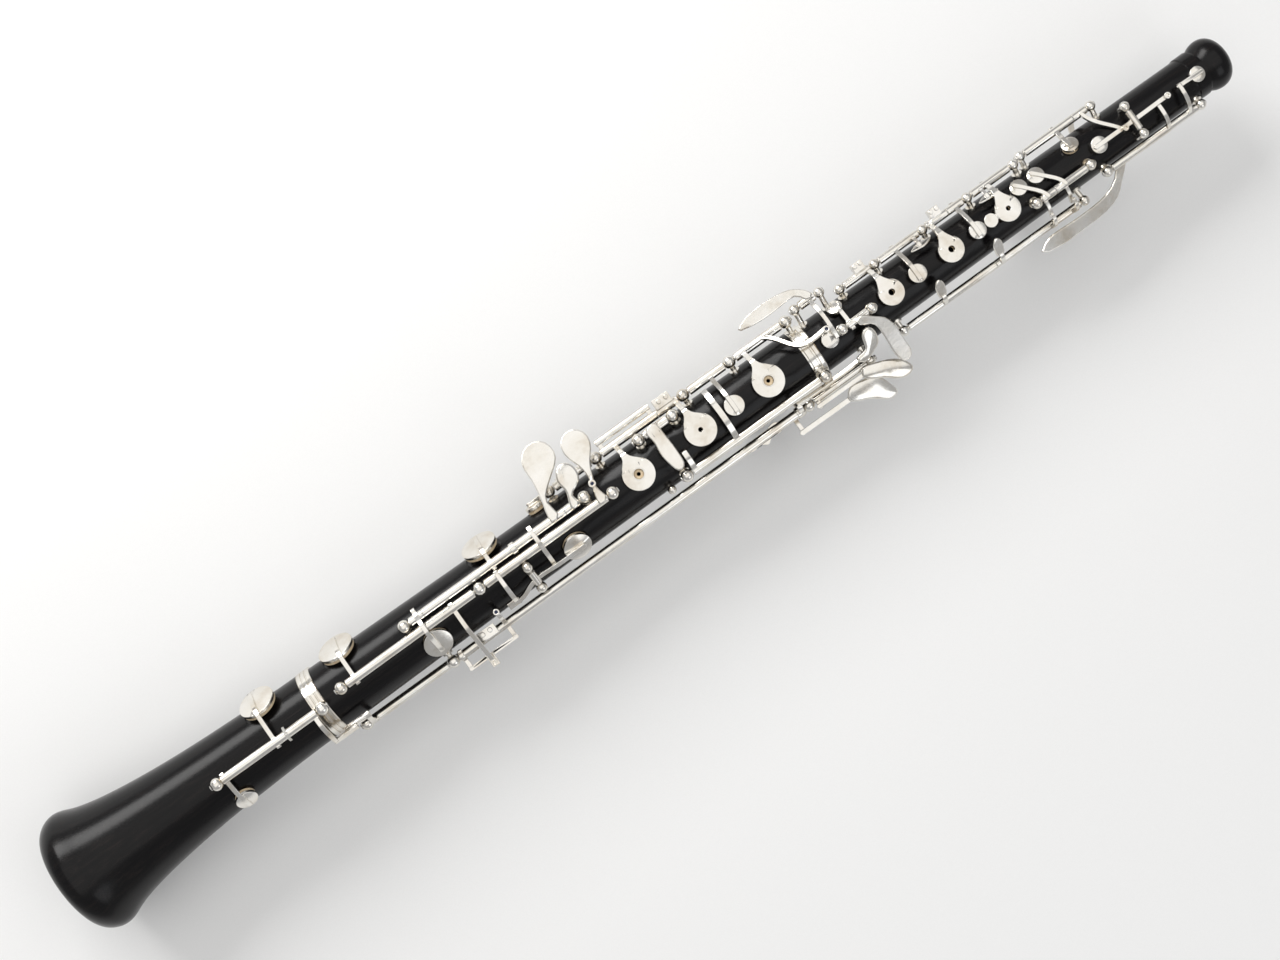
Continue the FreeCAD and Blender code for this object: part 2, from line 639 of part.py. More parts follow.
def posts(label, joint, places, ball_r, wood, extra=(), cross_pivot=()):
    """All pillars of one joint, seated on the wood and bored for the rods."""
    pillars = [post(f"{joint}_post_{number}", line, distance, ball_r)
               for number, (line, distance) in enumerate(places)]
    turning_shaft = ("c_line", "trill_line")
    bores = [cylinder(f"{joint}_post_bore_{number}",
                      "dims.rod_bore_r" if line in turning_shaft else "dims.rod_r", "7",
                      on_line(line, distance + 3.5), Vector(1, 0, 0))
             for number, (line, distance) in enumerate(places)]
    if cross_pivot:
        bores.append(cylinder(joint + "_cross_bore", "dims.rod_r", "20", *cross_pivot))
    solid = fuse(label + "_pillars", pillars + list(extra))
    seated = cut(label + "_seated", solid, wood)
    finish(label, cut(label, seated, fuse(label + "_bores", bores)))


SEE_SAW_ANGLE = -34
SEE_SAW_R = 16.9
SEE_SAW_PLACE = 369.2
OCTAVE_PIVOT_Z = 14.6
OCTAVE_PIVOT_PLACE = 52.9


def see_saw_point(distance, across, height):
    """Point in the tilted plane of the E flat lever."""
    return point(distance, 0, 0) + radial(SEE_SAW_ANGLE) * height + tangent(SEE_SAW_ANGLE) * across


def fittings(upper_wood, lower_wood, bell_wood):
    ball = "dims.lower_ball_r"
    see_saw_posts = [
        straight_post(f"see_saw_post_{number}", SEE_SAW_ANGLE, see_saw_point(SEE_SAW_PLACE, across, SEE_SAW_R),
                      "dims.upper_ball_r", 7.0)
        for number, across in enumerate((-6.1, 6.1))]
    hook = fuse("spring_hook", [
        sphere("spring_hook_ball", "1.9", point(301.6, -13.4, 7.0)),
        cylinder("spring_hook_stem", "1.1", "4", point(301.6, -13.4, 7.0), Vector(0, 0.886, -0.463))])
    ring = doc.getObject("middle_ring")
    posts("lower_joint_posts", "lower", LOWER_POSTS, ball, fuse("lower_seat_tool", [lower_wood, ring]),
          see_saw_posts + [hook],
          (see_saw_point(SEE_SAW_PLACE, -10, SEE_SAW_R), tangent(SEE_SAW_ANGLE)))
    octave_posts = [
        straight_post(f"octave_pivot_post_{number}", 0, point(OCTAVE_PIVOT_PLACE, across, OCTAVE_PIVOT_Z),
                      "2.2", 7.4)
        for number, across in enumerate((-7.6, 6.0))]
    posts("upper_joint_posts", "upper", UPPER_POSTS, "dims.upper_ball_r",
          fuse("upper_seat_tool", [upper_wood, ring]), octave_posts,
          (point(OCTAVE_PIVOT_PLACE, -10.8, OCTAVE_PIVOT_Z), Vector(0, 1, 0)))
    posts("bell_posts", "bell", BELL_POSTS, ball,
          fuse("bell_seat_tool", [bell_wood, doc.getObject("bell_ring"), lower_wood]))


def rod(name, line, top, bottom):
    return cylinder(name, "dims.rod_r", str(bottom - top), on_line(line, bottom), Vector(1, 0, 0))


def rods():
    """Steel rods that carry the hinge tubes, fixed in the pillars."""
    group("lower_hinge_rods", [
        rod("bell_rod", "bell_line", 468.2, 523.0), rod("b_rod", "b_line", 321.5, 460.6),
        rod("b_lever_rod", "b_lever_line", 199.6, 418.8), rod("bell_lever_rod", "bell_lever_line", 235.3, 463.6),
        rod("plate_rod", "plate_line", 220.4, 345.6), rod("f_rod", "f_line", 282.4, 303.0),
        rod("cross_rod", "cross_line", 220.6, 294.9),
        cylinder("see_saw_rod", "dims.rod_r", "15", see_saw_point(SEE_SAW_PLACE, -7.5, SEE_SAW_R),
                 tangent(SEE_SAW_ANGLE))])
    group("upper_hinge_rods", [
        rod("g_sharp_rod", "g_sharp_line", 188.8, 206.8), rod("side_rod", "side_line", 202.3, 217.8),
        rod("left_rod", "left_line", 103.0, 196.8), rod("trill_cup_rod", "trill_cup_line", 77.4, 108.4),
        rod("d_trill_rod", "d_trill_line", 60.5, 100.7), rod("octave_rod", "octave_line", 20.4, 73.1),
        cylinder("octave_pivot_rod", "dims.rod_r", "16.4", point(OCTAVE_PIVOT_PLACE, -9.0, OCTAVE_PIVOT_Z),
                 Vector(0, 1, 0))])


def thumb_rest(lower_wood):
    """Hook on the back of the lower joint that the right thumb carries the instrument by."""
    profile = [Vector(-247.0, -9, -11.8), Vector(-247.2, -9, -17.5), Vector(-249.4, -9, -21.8),
               Vector(-253.4, -9, -24.1), Vector(-257.5, -9, -24.3)]
    face = ribbon(profile, (1.2, 1.0), Vector(0, 1, 0))
    hook = feature("thumb_hook", face.extrude(Vector(0, 18, 0)))
    base = box("thumb_base", (26, 13, 4.4), point(254, 0, -12.4))
    screws = [cylinder(f"thumb_screw_{place}", "1.7", "1.0", point(place, 0, -14.4), Vector(0, 0, -1))
              for place in (257.0, 263.0)]
    finish("thumb_rest", cut("thumb_rest", fuse("thumb_rest_whole", [base, hook, *screws]), lower_wood))


# ---------------------------------------------------------------- lower joint and bell keys

def bell_key():
    """Low B flat key: big cup and vent cup on the bell, with a tongue for its lever."""
    lid, pad, top = cup("bell_cup", 491.2, 54, 8.0)
    vent, vent_pad, vent_top = cup("bell_vent_cup", 517.0, -50, 4.65, "dims.closed_gap")
    tongue = box("bell_tongue", (11.6, 2.6, 1.3), point(468.9, 0, 0) + radial(-52) * 20.7,
                 Rotation(Vector(1, 0, 0), 52))
    finish_key("bell_key", [
        tube("bell_key"), lid, vent, tongue,
        cup_arm("bell_cup_arm", "bell_line", 492.4, 54, top, 8.0),
        cup_arm("bell_vent_arm", "bell_line", 517.4, -50, vent_top, 4.65),
        cross_arm("bell_link_arm", 473.8, [(-1.2, 19.4), (-2.2, 20.0), (-7.5, 20.6), (-12.2, 17.6), (-16.3, 12.7)]),
        box("bell_collar", (1.2, 4.8, 4.8), on_line("bell_line", 487.0), Rotation(Vector(1, 0, 0), 45))])
    group("bell_key_pads", [pad, vent_pad])


def low_b_key():
    lid, pad, top = cup("low_b_cup", 452.7, 59, 8.0, "1.1")
    finish_key("low_b_key", [
        tube("low_b_key"), lid,
        cup_arm("low_b_arm", "b_line", 452.0, 59, top, 8.0),
        cross_arm("low_b_lever_arm", 403.4,
                  [(1.8, 19.0), (0, 18.4), (-8.5, 18.8), (-17.0, 14.8), (-24.0, 9.4), (-28.0, 6.4)]),
        barrel("low_b_barrel", 403.4, -28.4, 4.1, height=4.0)])
    finish("low_b_pad", pad)


def low_c_key():
    lid, pad, top = cup("low_c_cup", 380.5, 60, 8.0)
    touch = leaf("low_c_touch", [
        (-1.2, 8.3), (-1.2, 10.3), (6, 9.9), (13, 8.4), (19, 7.6), (25.5, 7.3), (30.4, 4.6), (32.2, 0), (30.6, -4.8),
        (26, -7.2), (20.6, -6.2), (17.0, -2.4), (12.6, 3.4), (6.5, 7.4)], point(339.5, 5.3, 18.0), 14)
    collar = cylinder("low_c_collar", "2.6", "2.4", on_line("c_line", 370.4), Vector(1, 0, 0))
    finish_key("low_c_key", [
        tube("low_c_key"), lid, touch, collar,
        cup_arm("low_c_arm", "c_line", 380.2, 60, top, 8.0)])
    finish("low_c_pad", pad)


def c_sharp_key():
    """Runs inside the low C key's tube: its shaft joins the touch to the cup beyond the tube."""
    lid, pad, top = cup("c_sharp_cup", 416.8, -31, 6.2, "dims.closed_gap")
    shaft = cylinder("c_sharp_shaft", "dims.rod_r", "90.0", on_line("c_line", 425.4), Vector(1, 0, 0))
    near = cylinder("c_sharp_touch_tube", "dims.lower_tube_r", "6.9", on_line("c_line", 343.3), Vector(1, 0, 0))
    far = cylinder("c_sharp_cup_tube", "dims.lower_tube_r", "6.2", on_line("c_line", 420.9), Vector(1, 0, 0))
    touch = leaf("c_sharp_touch", [
        (-1.4, 3.6), (-1.4, 6.2), (3, 5.6), (6.6, 4.4), (10.5, 5.0), (14.6, 3.8), (17.3, 0.4), (15.6, -3.0),
        (11.6, -4.3), (7.8, -3.4), (5.6, -0.6), (3, 3.0)], point(333.8, 5.3, 18.0), 10)
    arm = cross_arm("c_sharp_arm", 417.3, [
        (8.9, 17.2), (5.6, 18.6), (2.4, 21.3), (-1.8, 22.0), (-5.2, 19.6), (-8.6, 15.4), (-11.4, 12.6)])
    whole = fuse("c_sharp_key", [shaft, near, far, touch, arm, lid])
    finish("c_sharp_key", whole)
    finish("c_sharp_pad", pad)


def e_flat_keys():
    """Touch key that lifts a see-saw lever; the lever pivots across the joint."""
    touch = leaf("e_flat_touch", [
        (-1.4, 3.5), (-1.4, 5.9), (5, 5.1), (11, 3.6), (16.5, 3.8), (21, 5.3), (26.5, 5.9), (31, 3.5), (32.3, -0.8),
        (29.6, -5.2), (25, -6.3), (20.6, -4.6), (15.5, -0.6), (10, 1.7), (5, 3.0)], point(323.8, 0, 18.9), 12)
    finish_key("e_flat_touch_key", [
        tube("e_flat_touch_key"), touch, barrel("e_flat_barrel", 327.6, 8.0, 17.6, 1.6, 3.6),
        cross_arm("e_flat_stop_arm", 380.8, [(1.8, 18.6), (-2.5, 19.6), (-9.0, 17.8), (-12.6, 14.3)]),
        cross_arm("e_flat_lift_arm", 359.3, [
            (8.6, 19.3), (5.3, 20.6), (0, 20.0), (-4.0, 17.6), (-6.5, 15.0), (-8.3, 12.9), (-10.5, 11.1)])])
    lid, pad, top = cup("e_flat_cup", 347.4, -39, 6.2, "dims.closed_gap")
    hinge = cylinder("e_flat_pivot_tube", "1.7", "6.8", see_saw_point(SEE_SAW_PLACE, -3.4, SEE_SAW_R),
                     tangent(SEE_SAW_ANGLE))
    lever = long_arm("e_flat_lever", [
        (382.0, -4.4), (376.6, -4.2), (372.4, -2.0), (366.0, -0.9), (358.0, -1.4), (349.0, -1.4), (344.6, -1.4)],
        SEE_SAW_R + 0.75, 2.0, lean=SEE_SAW_ANGLE)
    flat = box("e_flat_lever_end", (5.6, 3.4, 1.4), see_saw_point(382.2, -4.4, SEE_SAW_R),
               Rotation(Vector(1, 0, 0), -SEE_SAW_ANGLE))
    stud = cylinder("e_flat_cup_stud", "1.3", "1.4", see_saw_point(347.4, -1.4, top - 0.6), radial(SEE_SAW_ANGLE))
    bore = cylinder("e_flat_pivot_bore", "dims.rod_bore_r", "20", see_saw_point(SEE_SAW_PLACE, -10, SEE_SAW_R),
                    tangent(SEE_SAW_ANGLE))
    whole = fuse("e_flat_lever_whole", [lid, hinge, lever, flat, stud])
    finish("e_flat_cup_lever", cut("e_flat_cup_lever", whole, bore))
    finish("e_flat_pad", pad)


def low_b_lever():
    """Long lever of the left little finger for low B, with the rocker frame that lifts the B key."""
    line = "b_lever_line"
    touch = leaf("low_b_touch", [
        (-8.3, 8.6), (-6.6, 9.0), (-5.2, 4.6), (-2.6, 3.2), (1.2, 2.6), (3.2, 0.6), (3.4, -1.2), (1.8, -3.0),
        (-2.0, -3.6), (-6.0, -2.6), (-8.3, 1.0)], point(198.0, 0, 0) + radial(-32) * 15.5, -32)
    arm = long_arm("low_b_long_arm", [(238.4, 0.5), (228, 0.2), (214, 0.2), (203.0, 1.2)], 18.4, 2.2, lean=-63)
    joint = cross_arm("low_b_joint_arm", 238.0, [(-18.0, 0.8), (-18.4, 3.2), (-18.2, 6.0), (-16.4, 8.2)], 2.2)
    wing = leaf("low_b_wing", [
        (1.0, -9), (-1.2, -9), (-2.3, -6), (-1.8, -3), (-3.6, 0), (-1.8, 3), (-2.3, 6), (-1.2, 9), (1.0, 9),
        (1.2, 0)], point(257, -18.3, 1.8), 0, edge=0)
    pieces = [
        tube("low_b_lever"), touch, arm, joint, wing,
        cross_arm("frame_arm_low", 412.7, [(-25.2, 2.1), (-22.0, 2.5), (-18.3, 2.6), (-16.2, 4.2)]),
        cross_arm("frame_arm_high", 390.3, [(-25.2, 2.1), (-21.5, 2.8), (-18.3, 3.4), (-15.8, 8.2), (-12.4, 11.6)]),
        long_arm("frame_bar", [(413.4, -25.2), (402, -25.2), (389.6, -25.2)], 2.85, 1.8),
        box("frame_plate", (9, 4.6, 1.3), point(399, -17.0, 4.4)),
        box("frame_tongue", (3.4, 5.6, 1.5), point(403.4, -27.4, 3.0)),
        barrel("frame_barrel", 390.3, -11.8, 11.2, height=3.2)]
    pieces += [cylinder(f"frame_screw_{place}", "0.95", "1.4", point(place, -16.4, 4.8), Vector(0, 0, 1))
               for place in (397.2, 400.8)]
    pieces += [cylinder(f"lever_collar_{place}", "2.5", "2.0", on_line(line, place), Vector(1, 0, 0))
               for place in (414.0, 240.0)]
    finish_key("low_b_lever", pieces)


def left_e_flat_lever():
    touch = leaf("left_e_flat_touch", [
        (6.6, 11), (3.8, 12.2), (-1.5, 5.5), (-5, 1), (-7.0, -5), (-5.5, -8), (-2.5, -7.5), (2.5, -3), (5.3, 3),
        (6.9, 7.5)], point(196, -25.5, 4.0), -14)
    bar = long_arm("left_e_flat_bar", [(231, -21.2), (218, -21.2), (205, -21.4)], 5.5, 1.8)
    finish_key("left_e_flat_lever", [
        tube("left_e_flat_lever"), touch, bar,
        cross_arm("left_e_flat_web_low", 229.6, [(-18.3, 3.4), (-20, 3.8), (-22.0, 3.6)]),
        cross_arm("left_e_flat_web_high", 206.4, [(-18.3, 3.4), (-20, 3.8), (-22.0, 3.8)])])


def low_b_flat_lever():
    """Long lever for low B flat; its tongue lifts the tongue of the bell key across the joint."""
    touch = leaf("low_b_flat_touch", [
        (4.6, 10.4), (1.0, 11.6), (-3, 5.4), (-6.2, 0.6), (-9.6, -5), (-8.6, -8), (-4, -7.4), (1.2, -5.2),
        (4.4, -2), (5.6, 4)], point(206, -27.6, -1.6), -20)
    bar = long_arm("low_b_flat_bar", [(242.4, -26.4), (230, -26.4), (214.5, -26.6)], -0.4, 2.2)
    tongue = box("low_b_flat_tongue", (12.4, 2.6, 1.3), point(462.4, 0, 0) + radial(-52) * 19.05,
                 Rotation(Vector(1, 0, 0), 52))
    finish_key("low_b_flat_lever", [
        tube("low_b_flat_lever"), touch, bar, tongue,
        cross_arm("low_b_flat_web", 241.2, [(-18.3, -3.2), (-22, -1.8), (-26.6, -1.2)]),
        cross_arm("low_b_flat_bridge", 457.6, [
            (-18.0, -4.6), (-18.8, -1.0), (-19.4, 4.0), (-17.6, 9.0), (-14.4, 12.4)], 2.2)])


def f_resonance_key():
    """Small cup low on the player's right, carried past its pillar by an offset bar."""
    lid, pad, top = cup("f_resonance_cup", 352.0, 78, 4.4, "dims.closed_gap")
    bar = long_arm("f_resonance_bar", [(337.2, 0.0), (344.0, 0.6), (351.0, 0.2), (354.2, 0.0)], top + 1.4, 1.8,
                   lean=78)
    finish_key("f_resonance_key", [
        tube("f_resonance_key"), lid, bar,
        cross_arm("f_resonance_web", 338.2, [(15.4, 8.6), (17.0, 7.0), (18.1, 5.0), (17.4, 3.4)])])
    finish("f_resonance_pad", pad)


def plate(name, distance, arm_distance, cup_r, hole_r, line="plate_line", gap="dims.open_gap"):
    """Finger plate on top of the body with its trumpet-shaped arm."""
    lid, pad, top = cup(name, distance, 0, cup_r, gap, hole_r)
    arm = flared_arm(name + "_arm", line, arm_distance, distance, cup_r, top)
    return lid, pad, arm


def right_hand_stack():
    lid, pad, arm = plate("d_plate", 309.6, 310.3, 7.0, 2.1)
    finish_key("d_plate_key", [
        tube("d_plate_key"), lid, arm,
        cylinder("d_side_bar", "1.5", "27.4", point(316.8, 20.6, 8.8), Vector(1, 0, 0)),
        cross_arm("d_side_web_low", 315.4, [(16.0, 8.4), (18.4, 9.0), (20.8, 8.8)], 2.0),
        cross_arm("d_side_web_high", 290.6, [(16.0, 8.4), (18.4, 9.0), (20.8, 8.8)], 2.0)])
    finish("d_plate_pad", pad)
    lid, pad, arm = plate("e_plate", 278.2, 279.1, 7.0, 0.95)
    screws = [cylinder(f"e_block_screw_{place}", "0.95", "1.2", point(place, 19.6, 10.2), Vector(0, 0, 1))
              for place in (281.4, 285.0)]
    finish_key("e_plate_key", [
        tube("e_plate_key"), lid, arm, box("e_block", (8.0, 4.6, 2.6), point(283.6, 19.2, 9.0)), *screws])
    finish("e_plate_pad", pad)
    lid, pad, top = cup("f_vent_cup", 260.9, 0, 4.35)
    finish_key("f_vent_key", [
        tube("f_vent_key"), lid, cup_arm("f_vent_arm", "plate_line", 261.4, 0, top, 4.35)])
    finish("f_vent_pad", pad)
    lid, pad, arm = plate("f_sharp_plate", 243.3, 244.1, 7.0, 2.1, gap="1.25")
    bridge = long_arm("f_sharp_bridge", [
        (234.2, 8.6), (229, 1.8), (224, -5.4), (216.8, -6.2), (211.6, -5.6)], 18.0, 1.8, lean=30)
    finish_key("f_sharp_plate_key", [
        tube("f_sharp_plate_key"), lid, arm, bridge, barrel("f_sharp_barrel", 211.6, 3.4, 16.7, 1.4, 3.0)])
    finish("f_sharp_plate_pad", pad)


def f_touch_key():
    touch = leaf("f_touch", [
        (11.4, 1.9), (11.4, -1.6), (6, -2.6), (0, -2.9), (-6, -2.8), (-10.4, -1.4), (-10.9, 0.6), (-6.5, 3.0),
        (0, 3.7), (6, 3.2)], point(294, 2.0, 17.3), 0)
    finish_key("f_touch_key", [
        tube("f_touch_key"), touch,
        cross_arm("f_touch_arm", 294, [(10.6, 11.9), (12.4, 13.4), (12.6, 15.6), (11.0, 17.6), (8.4, 18.0)], 3.0)])


def f_cross_lever():
    """Lever under the F touch, with a broad arm over the top of the joint."""
    finish_key("f_cross_lever", [
        tube("f_cross_lever"),
        cross_arm("f_cross_tab", 289.1, [(-13.6, 9.4), (-12.3, 11.4), (-8.8, 14.6), (-3.6, 16.0)], 2.4),
        cross_arm("f_cross_arm", 267.5, [
            (-14.2, 8.8), (-12.3, 11.4), (-6.8, 16.4), (0, 18.2), (7.0, 16.6), (12.2, 12.9)], 2.6)])


# ---------------------------------------------------------------- upper joint keys

def side_trill_key():
    """Long curved touch beside the right-hand plates; the arm over the joint lifts its cup."""
    lid, pad, top = cup("side_trill_cup", 211.9, -4, 3.75, "dims.closed_gap")
    touch = leaf("side_trill_touch", [
        (0, 14.5), (2.2, 10), (3.2, 2), (2.8, -6), (1.2, -13), (-2.2, -17.6), (-6.4, -19.4), (-7.4, -17.0),
        (-3.6, -14.2), (-2.4, -8), (-2.8, 2), (-2.0, 10)], point(226, 24.5, 9.7), 15)
    finish_key("side_trill_key", [
        tube("side_trill_key"), touch, lid,
        cross_arm("side_trill_arm", 209.1, [
            (19.2, 9.2), (17.8, 10.9), (13.0, 15.2), (6.5, 17.3), (1.0, 16.2), (-2.0, 15.1)], 1.8)])
    finish("side_trill_pad", pad)


def g_sharp_key():
    lid, pad, top = cup("g_sharp_cup", 202.0, 40, 3.5, "dims.closed_gap")
    touch = leaf("g_sharp_touch", [
        (13.6, 9.4), (11.2, 8.6), (8.6, 4.0), (3, 2.6), (-4, 2.6), (-10, 2.2), (-13.5, -0.5), (-12.5, -3.2),
        (-6, -4.2), (2, -4.0), (8, -1.8), (12, 3.0), (14.5, 6.5)], point(190, -14.0, 12.2), -17)
    finish_key("g_sharp_key", [
        tube("g_sharp_key", "dims.upper_tube_r"), lid, touch,
        cup_arm("g_sharp_arm", "g_sharp_line", 201.4, 40, top, 3.5, bow=0.4)])


def left_hand_stack():
    gap = "1.5"
    for key_name, name, distance, arm_distance, hole_r in [
            ("g_plate_key", "g_plate", 179.6, 181.0, 1.35), ("a_plate_key", "a_plate", 148.4, 148.4, 1.35)]:
        lid, pad, arm = plate(name, distance, arm_distance, 5.65, hole_r, "left_line", gap)
        place = arm_distance + (3.0 if name == "g_plate" else -4.2)
        block = box(name + "_block", (5.2, 4.2, 3.4), point(place, 16.9, 10.4))
        screws = [cylinder(f"{name}_screw_{shift}", "0.9", "1.2", point(place + shift, 17.6, 11.9), Vector(0, 0, 1))
                  for shift in (-1.4, 1.4)]
        finish_key(key_name, [tube(key_name, "dims.upper_tube_r"), lid, arm, block, *screws])
        finish(name + "_pad", pad)
    for key_name, name, distance, arm_distance, cup_r in [
            ("a_vent_key", "a_vent", 165.9, 166.6, 4.0), ("b_vent_key", "b_vent", 134.5, 135.2, 3.75)]:
        lid, pad, top = cup(name, distance, 0, cup_r, gap)
        pieces = [tube(key_name, "dims.upper_tube_r"), lid, pad,
                  cup_arm(name + "_arm", "left_line", arm_distance, 0, top, cup_r)]
        if name == "a_vent":
            pieces += small_spatula("a_spatula", 156.9)
        finish_key(key_name, pieces)
    lid, pad, arm = plate("half_hole", 118.7, 119.0, 5.65, 1.0, "left_line", gap)
    height = dim("upper_top_r") + 3.6
    rest = cylinder("half_hole_touch", "3.0", "1.6", point(127.6, 0, height), Vector(0, 0, 1))
    bridge = box("half_hole_bridge", (6, 2.6, 1.3), point(124.6, 0, height + 0.8))
    finish_key("half_hole_key", [
        tube("half_hole_key", "dims.upper_tube_r"), lid, arm, rest, bridge, *small_spatula("b_spatula", 121.4)])
    finish("half_hole_pad", pad)


def small_spatula(name, distance):
    """Slim leaf that lies along the joint beside the left-hand tubes."""
    away = 36
    blade = leaf(name, [(0, 5.4), (1.2, 3), (1.3, -2.5), (0.3, -5.2), (-1.1, -3), (-1.2, 2.5)],
                 point(distance, 0, 0) + radial(away) * 14.6, away, 1.1, 0.3)
    stalk = cross_arm(name + "_stalk", distance + 0.8, [(13.8, 8.8), (12.8, 10.8), (10.6, 12.4), (8.6, 12.7)], 1.6, 1.1)
    return [blade, stalk]


def upright_touch(name, distance):
    """Small upright finger touch beside the body, on the long trill levers."""
    centre = point(distance, 0, 0) + radial(-43) * 15.0
    blade = leaf(name, [(4.6, 0), (3.0, 1.9), (-1.0, 2.2), (-4.6, 1.2), (-4.8, -1.0), (-1.0, -2.2), (3.0, -1.9)],
                 centre, -43, 1.3, 0.35)
    stalk = cross_arm(name + "_stalk", distance, [(-16.3, 2.6), (-16.9, 4.8), (-15.8, 7.2), (-13.6, 8.9)], 2.0, 1.3)
    return [blade, stalk]


def trill_keys():
    """Two trill cups, each lifted through a tail by a lever on the left-hand side."""
    line = "trill_cup_line"
    for key_name, name, start, cup_place, tail_place in [
            ("first_trill_key", "first_trill", 101.6, 109.1, 103.6),
            ("second_trill_key", "second_trill", 92.4, 100.1, 93.0)]:
        lid, pad, top = cup(name, cup_place, 20, 3.75, "dims.closed_gap")
        reach = cup_place - start
        arm = long_arm(name + "_arm", [
            (start, -7.6), (start + 0.24 * reach, -3.6), (start + 0.62 * reach, -0.2), (cup_place, 3.1),
            (cup_place + 1.8, 4.9)], 14.65, 1.7, lean=7)
        tail = cross_arm(name + "_tail", tail_place, [(-4.4, 13.8), (-7.6, 13.6), (-10.6, 12.0), (-13.4, 9.4)], 1.6)
        finish_key(key_name, [tube(key_name, "dims.upper_tube_r"), lid, pad, arm, tail])
    over = [(-16.0, 2.2), (-17.0, 4.6), (-17.4, 8.6), (-15.6, 11.8), (-12.8, 13.0)]
    finish_key("first_trill_lever", [
        tube("first_trill_lever", "dims.upper_tube_r"), *upright_touch("first_trill_touch", 130.6),
        cross_arm("first_trill_presser", 104.4, over, 1.6)])
    shaft = cylinder("second_trill_shaft", "dims.rod_r", "99.6", on_line("trill_line", 183.6), Vector(1, 0, 0))
    end = cylinder("second_trill_end", "dims.upper_tube_r", "14.4", on_line("trill_line", 103.1), Vector(1, 0, 0))
    long = cylinder("second_trill_tube", "dims.upper_tube_r", "dims.second_trill_lever_bottom - "
                    "dims.second_trill_lever_top", on_line("trill_line", 179.6), Vector(1, 0, 0))
    finish("second_trill_lever", fuse("second_trill_lever", [
        shaft, end, long, *upright_touch("second_trill_touch", 160.9),
        cross_arm("second_trill_presser", 93.0, over, 1.6)]))


def d_trill_key():
    lid, pad, top = cup("d_trill", 80.0, 32, 3.75, "dims.closed_gap")
    finish_key("d_trill_key", [
        tube("d_trill_key", "dims.upper_tube_r"), lid,
        cup_arm("d_trill_arm", "d_trill_line", 80.8, 32, top, 3.75)])
    finish("d_trill_pad", pad)


def octave_keys():
    """Thumb lever on the back, first octave see-saw, and side octave key."""
    touch = leaf("thumb_octave_touch", [
        (1.4, -5), (1.6, 6), (2.2, 20), (3.2, 31), (5.8, 38), (6.0, 46), (2.6, 50.5), (-2.6, 50.5), (-6.0, 46),
        (-5.8, 38), (-3.0, 31), (-1.8, 20), (-1.6, 6), (-1.4, -5)], point(66.0, 4.0, -14.6), 165)
    finish_key("thumb_octave_lever", [
        tube("thumb_octave_lever", "dims.upper_tube_r"), touch,
        long_arm("thumb_octave_front", [
            (67.6, 12.0), (66.8, 8.8), (63.8, 3.4), (60.6, -0.8), (59.0, -3.2)], 12.75, 1.7, lean=14.1),
        cross_arm("thumb_octave_back", 67.6, [
            (14.6, 8.0), (15.6, 5.6), (16.0, 0), (14.2, -6.5), (10.0, -12.0), (4.4, -15.0)], 2.4)])
    lid, _, top = cup("first_octave", 70.6, -3, 3.65, "dims.closed_gap", height="2.2")
    lever = long_arm("first_octave_lever", [(73.2, -0.8), (64, -0.8), (53, -0.8), (44, -0.7), (35.4, -0.6)],
                     OCTAVE_PIVOT_Z + 0.6, 1.9)
    hinge = cylinder("first_octave_hinge", "1.6", "8.6", point(OCTAVE_PIVOT_PLACE, -5.1, OCTAVE_PIVOT_Z),
                     Vector(0, 1, 0))
    bore = cylinder("first_octave_bore", "dims.rod_bore_r", "20", point(OCTAVE_PIVOT_PLACE, -10, OCTAVE_PIVOT_Z),
                    Vector(0, 1, 0))
    disc = cylinder("first_octave_pad", "3.3", "1.6", point(70.6, 0, 0) + radial(-3) * (top - 3.75), radial(-3))
    whole = fuse("first_octave_whole", [
        lid, disc, lever, hinge, barrel("octave_barrel_near", 58.5, -1.4, 13.8, 1.35, 3.2),
        barrel("octave_barrel_far", 35.7, -0.6, 13.8, 1.4, 2.8)])
    finish("first_octave_key", cut("first_octave_key", whole, bore))
    lid, pad, top = cup("side_octave", 18.3, -3, 3.4, "dims.closed_gap")
    spatula = leaf("side_octave_touch", [
        (0, 22), (2.8, 18), (3.3, 8), (3.1, -6), (4.4, -16), (8.6, -22.5), (12.4, -27.0), (11.6, -29.4),
        (6.5, -25.6), (0.8, -20), (-2.2, -12), (-2.9, -2), (-3.0, 9), (-2.4, 17)], point(92, -23.2, 1.9), -15)
    finish_key("side_octave_key", [
        tube("side_octave_key", "dims.upper_tube_r"), lid, pad, spatula,
        cross_arm("side_octave_stop", 39.5, [
            (-12.6, 5.2), (-11.6, 7.6), (-9.4, 10.2), (-5.0, 11.7), (-0.6, 11.6)], 1.8),
        cross_arm("side_octave_arm", 28.3, [
            (-12.6, 5.2), (-11.6, 7.8), (-8.8, 11.4), (-4.6, 13.6), (0.4, 14.0)], 1.8),
        long_arm("side_octave_end", [(29.0, -0.2), (24.0, -0.4), (16.6, -0.6)], 14.7, 1.8)])


def check():
    """Nothing is written unless every object built and every sub-part is a sound solid."""
    broken = [item.Name for item in doc.Objects if {"Invalid", "Error"} & set(item.State)]
    for item in exported:
        shape = item.Shape
        if shape.isNull() or not shape.isValid() or not shape.Solids:
            broken.append(item.Label)
    if broken:
        raise SystemExit("failed: " + ", ".join(broken))


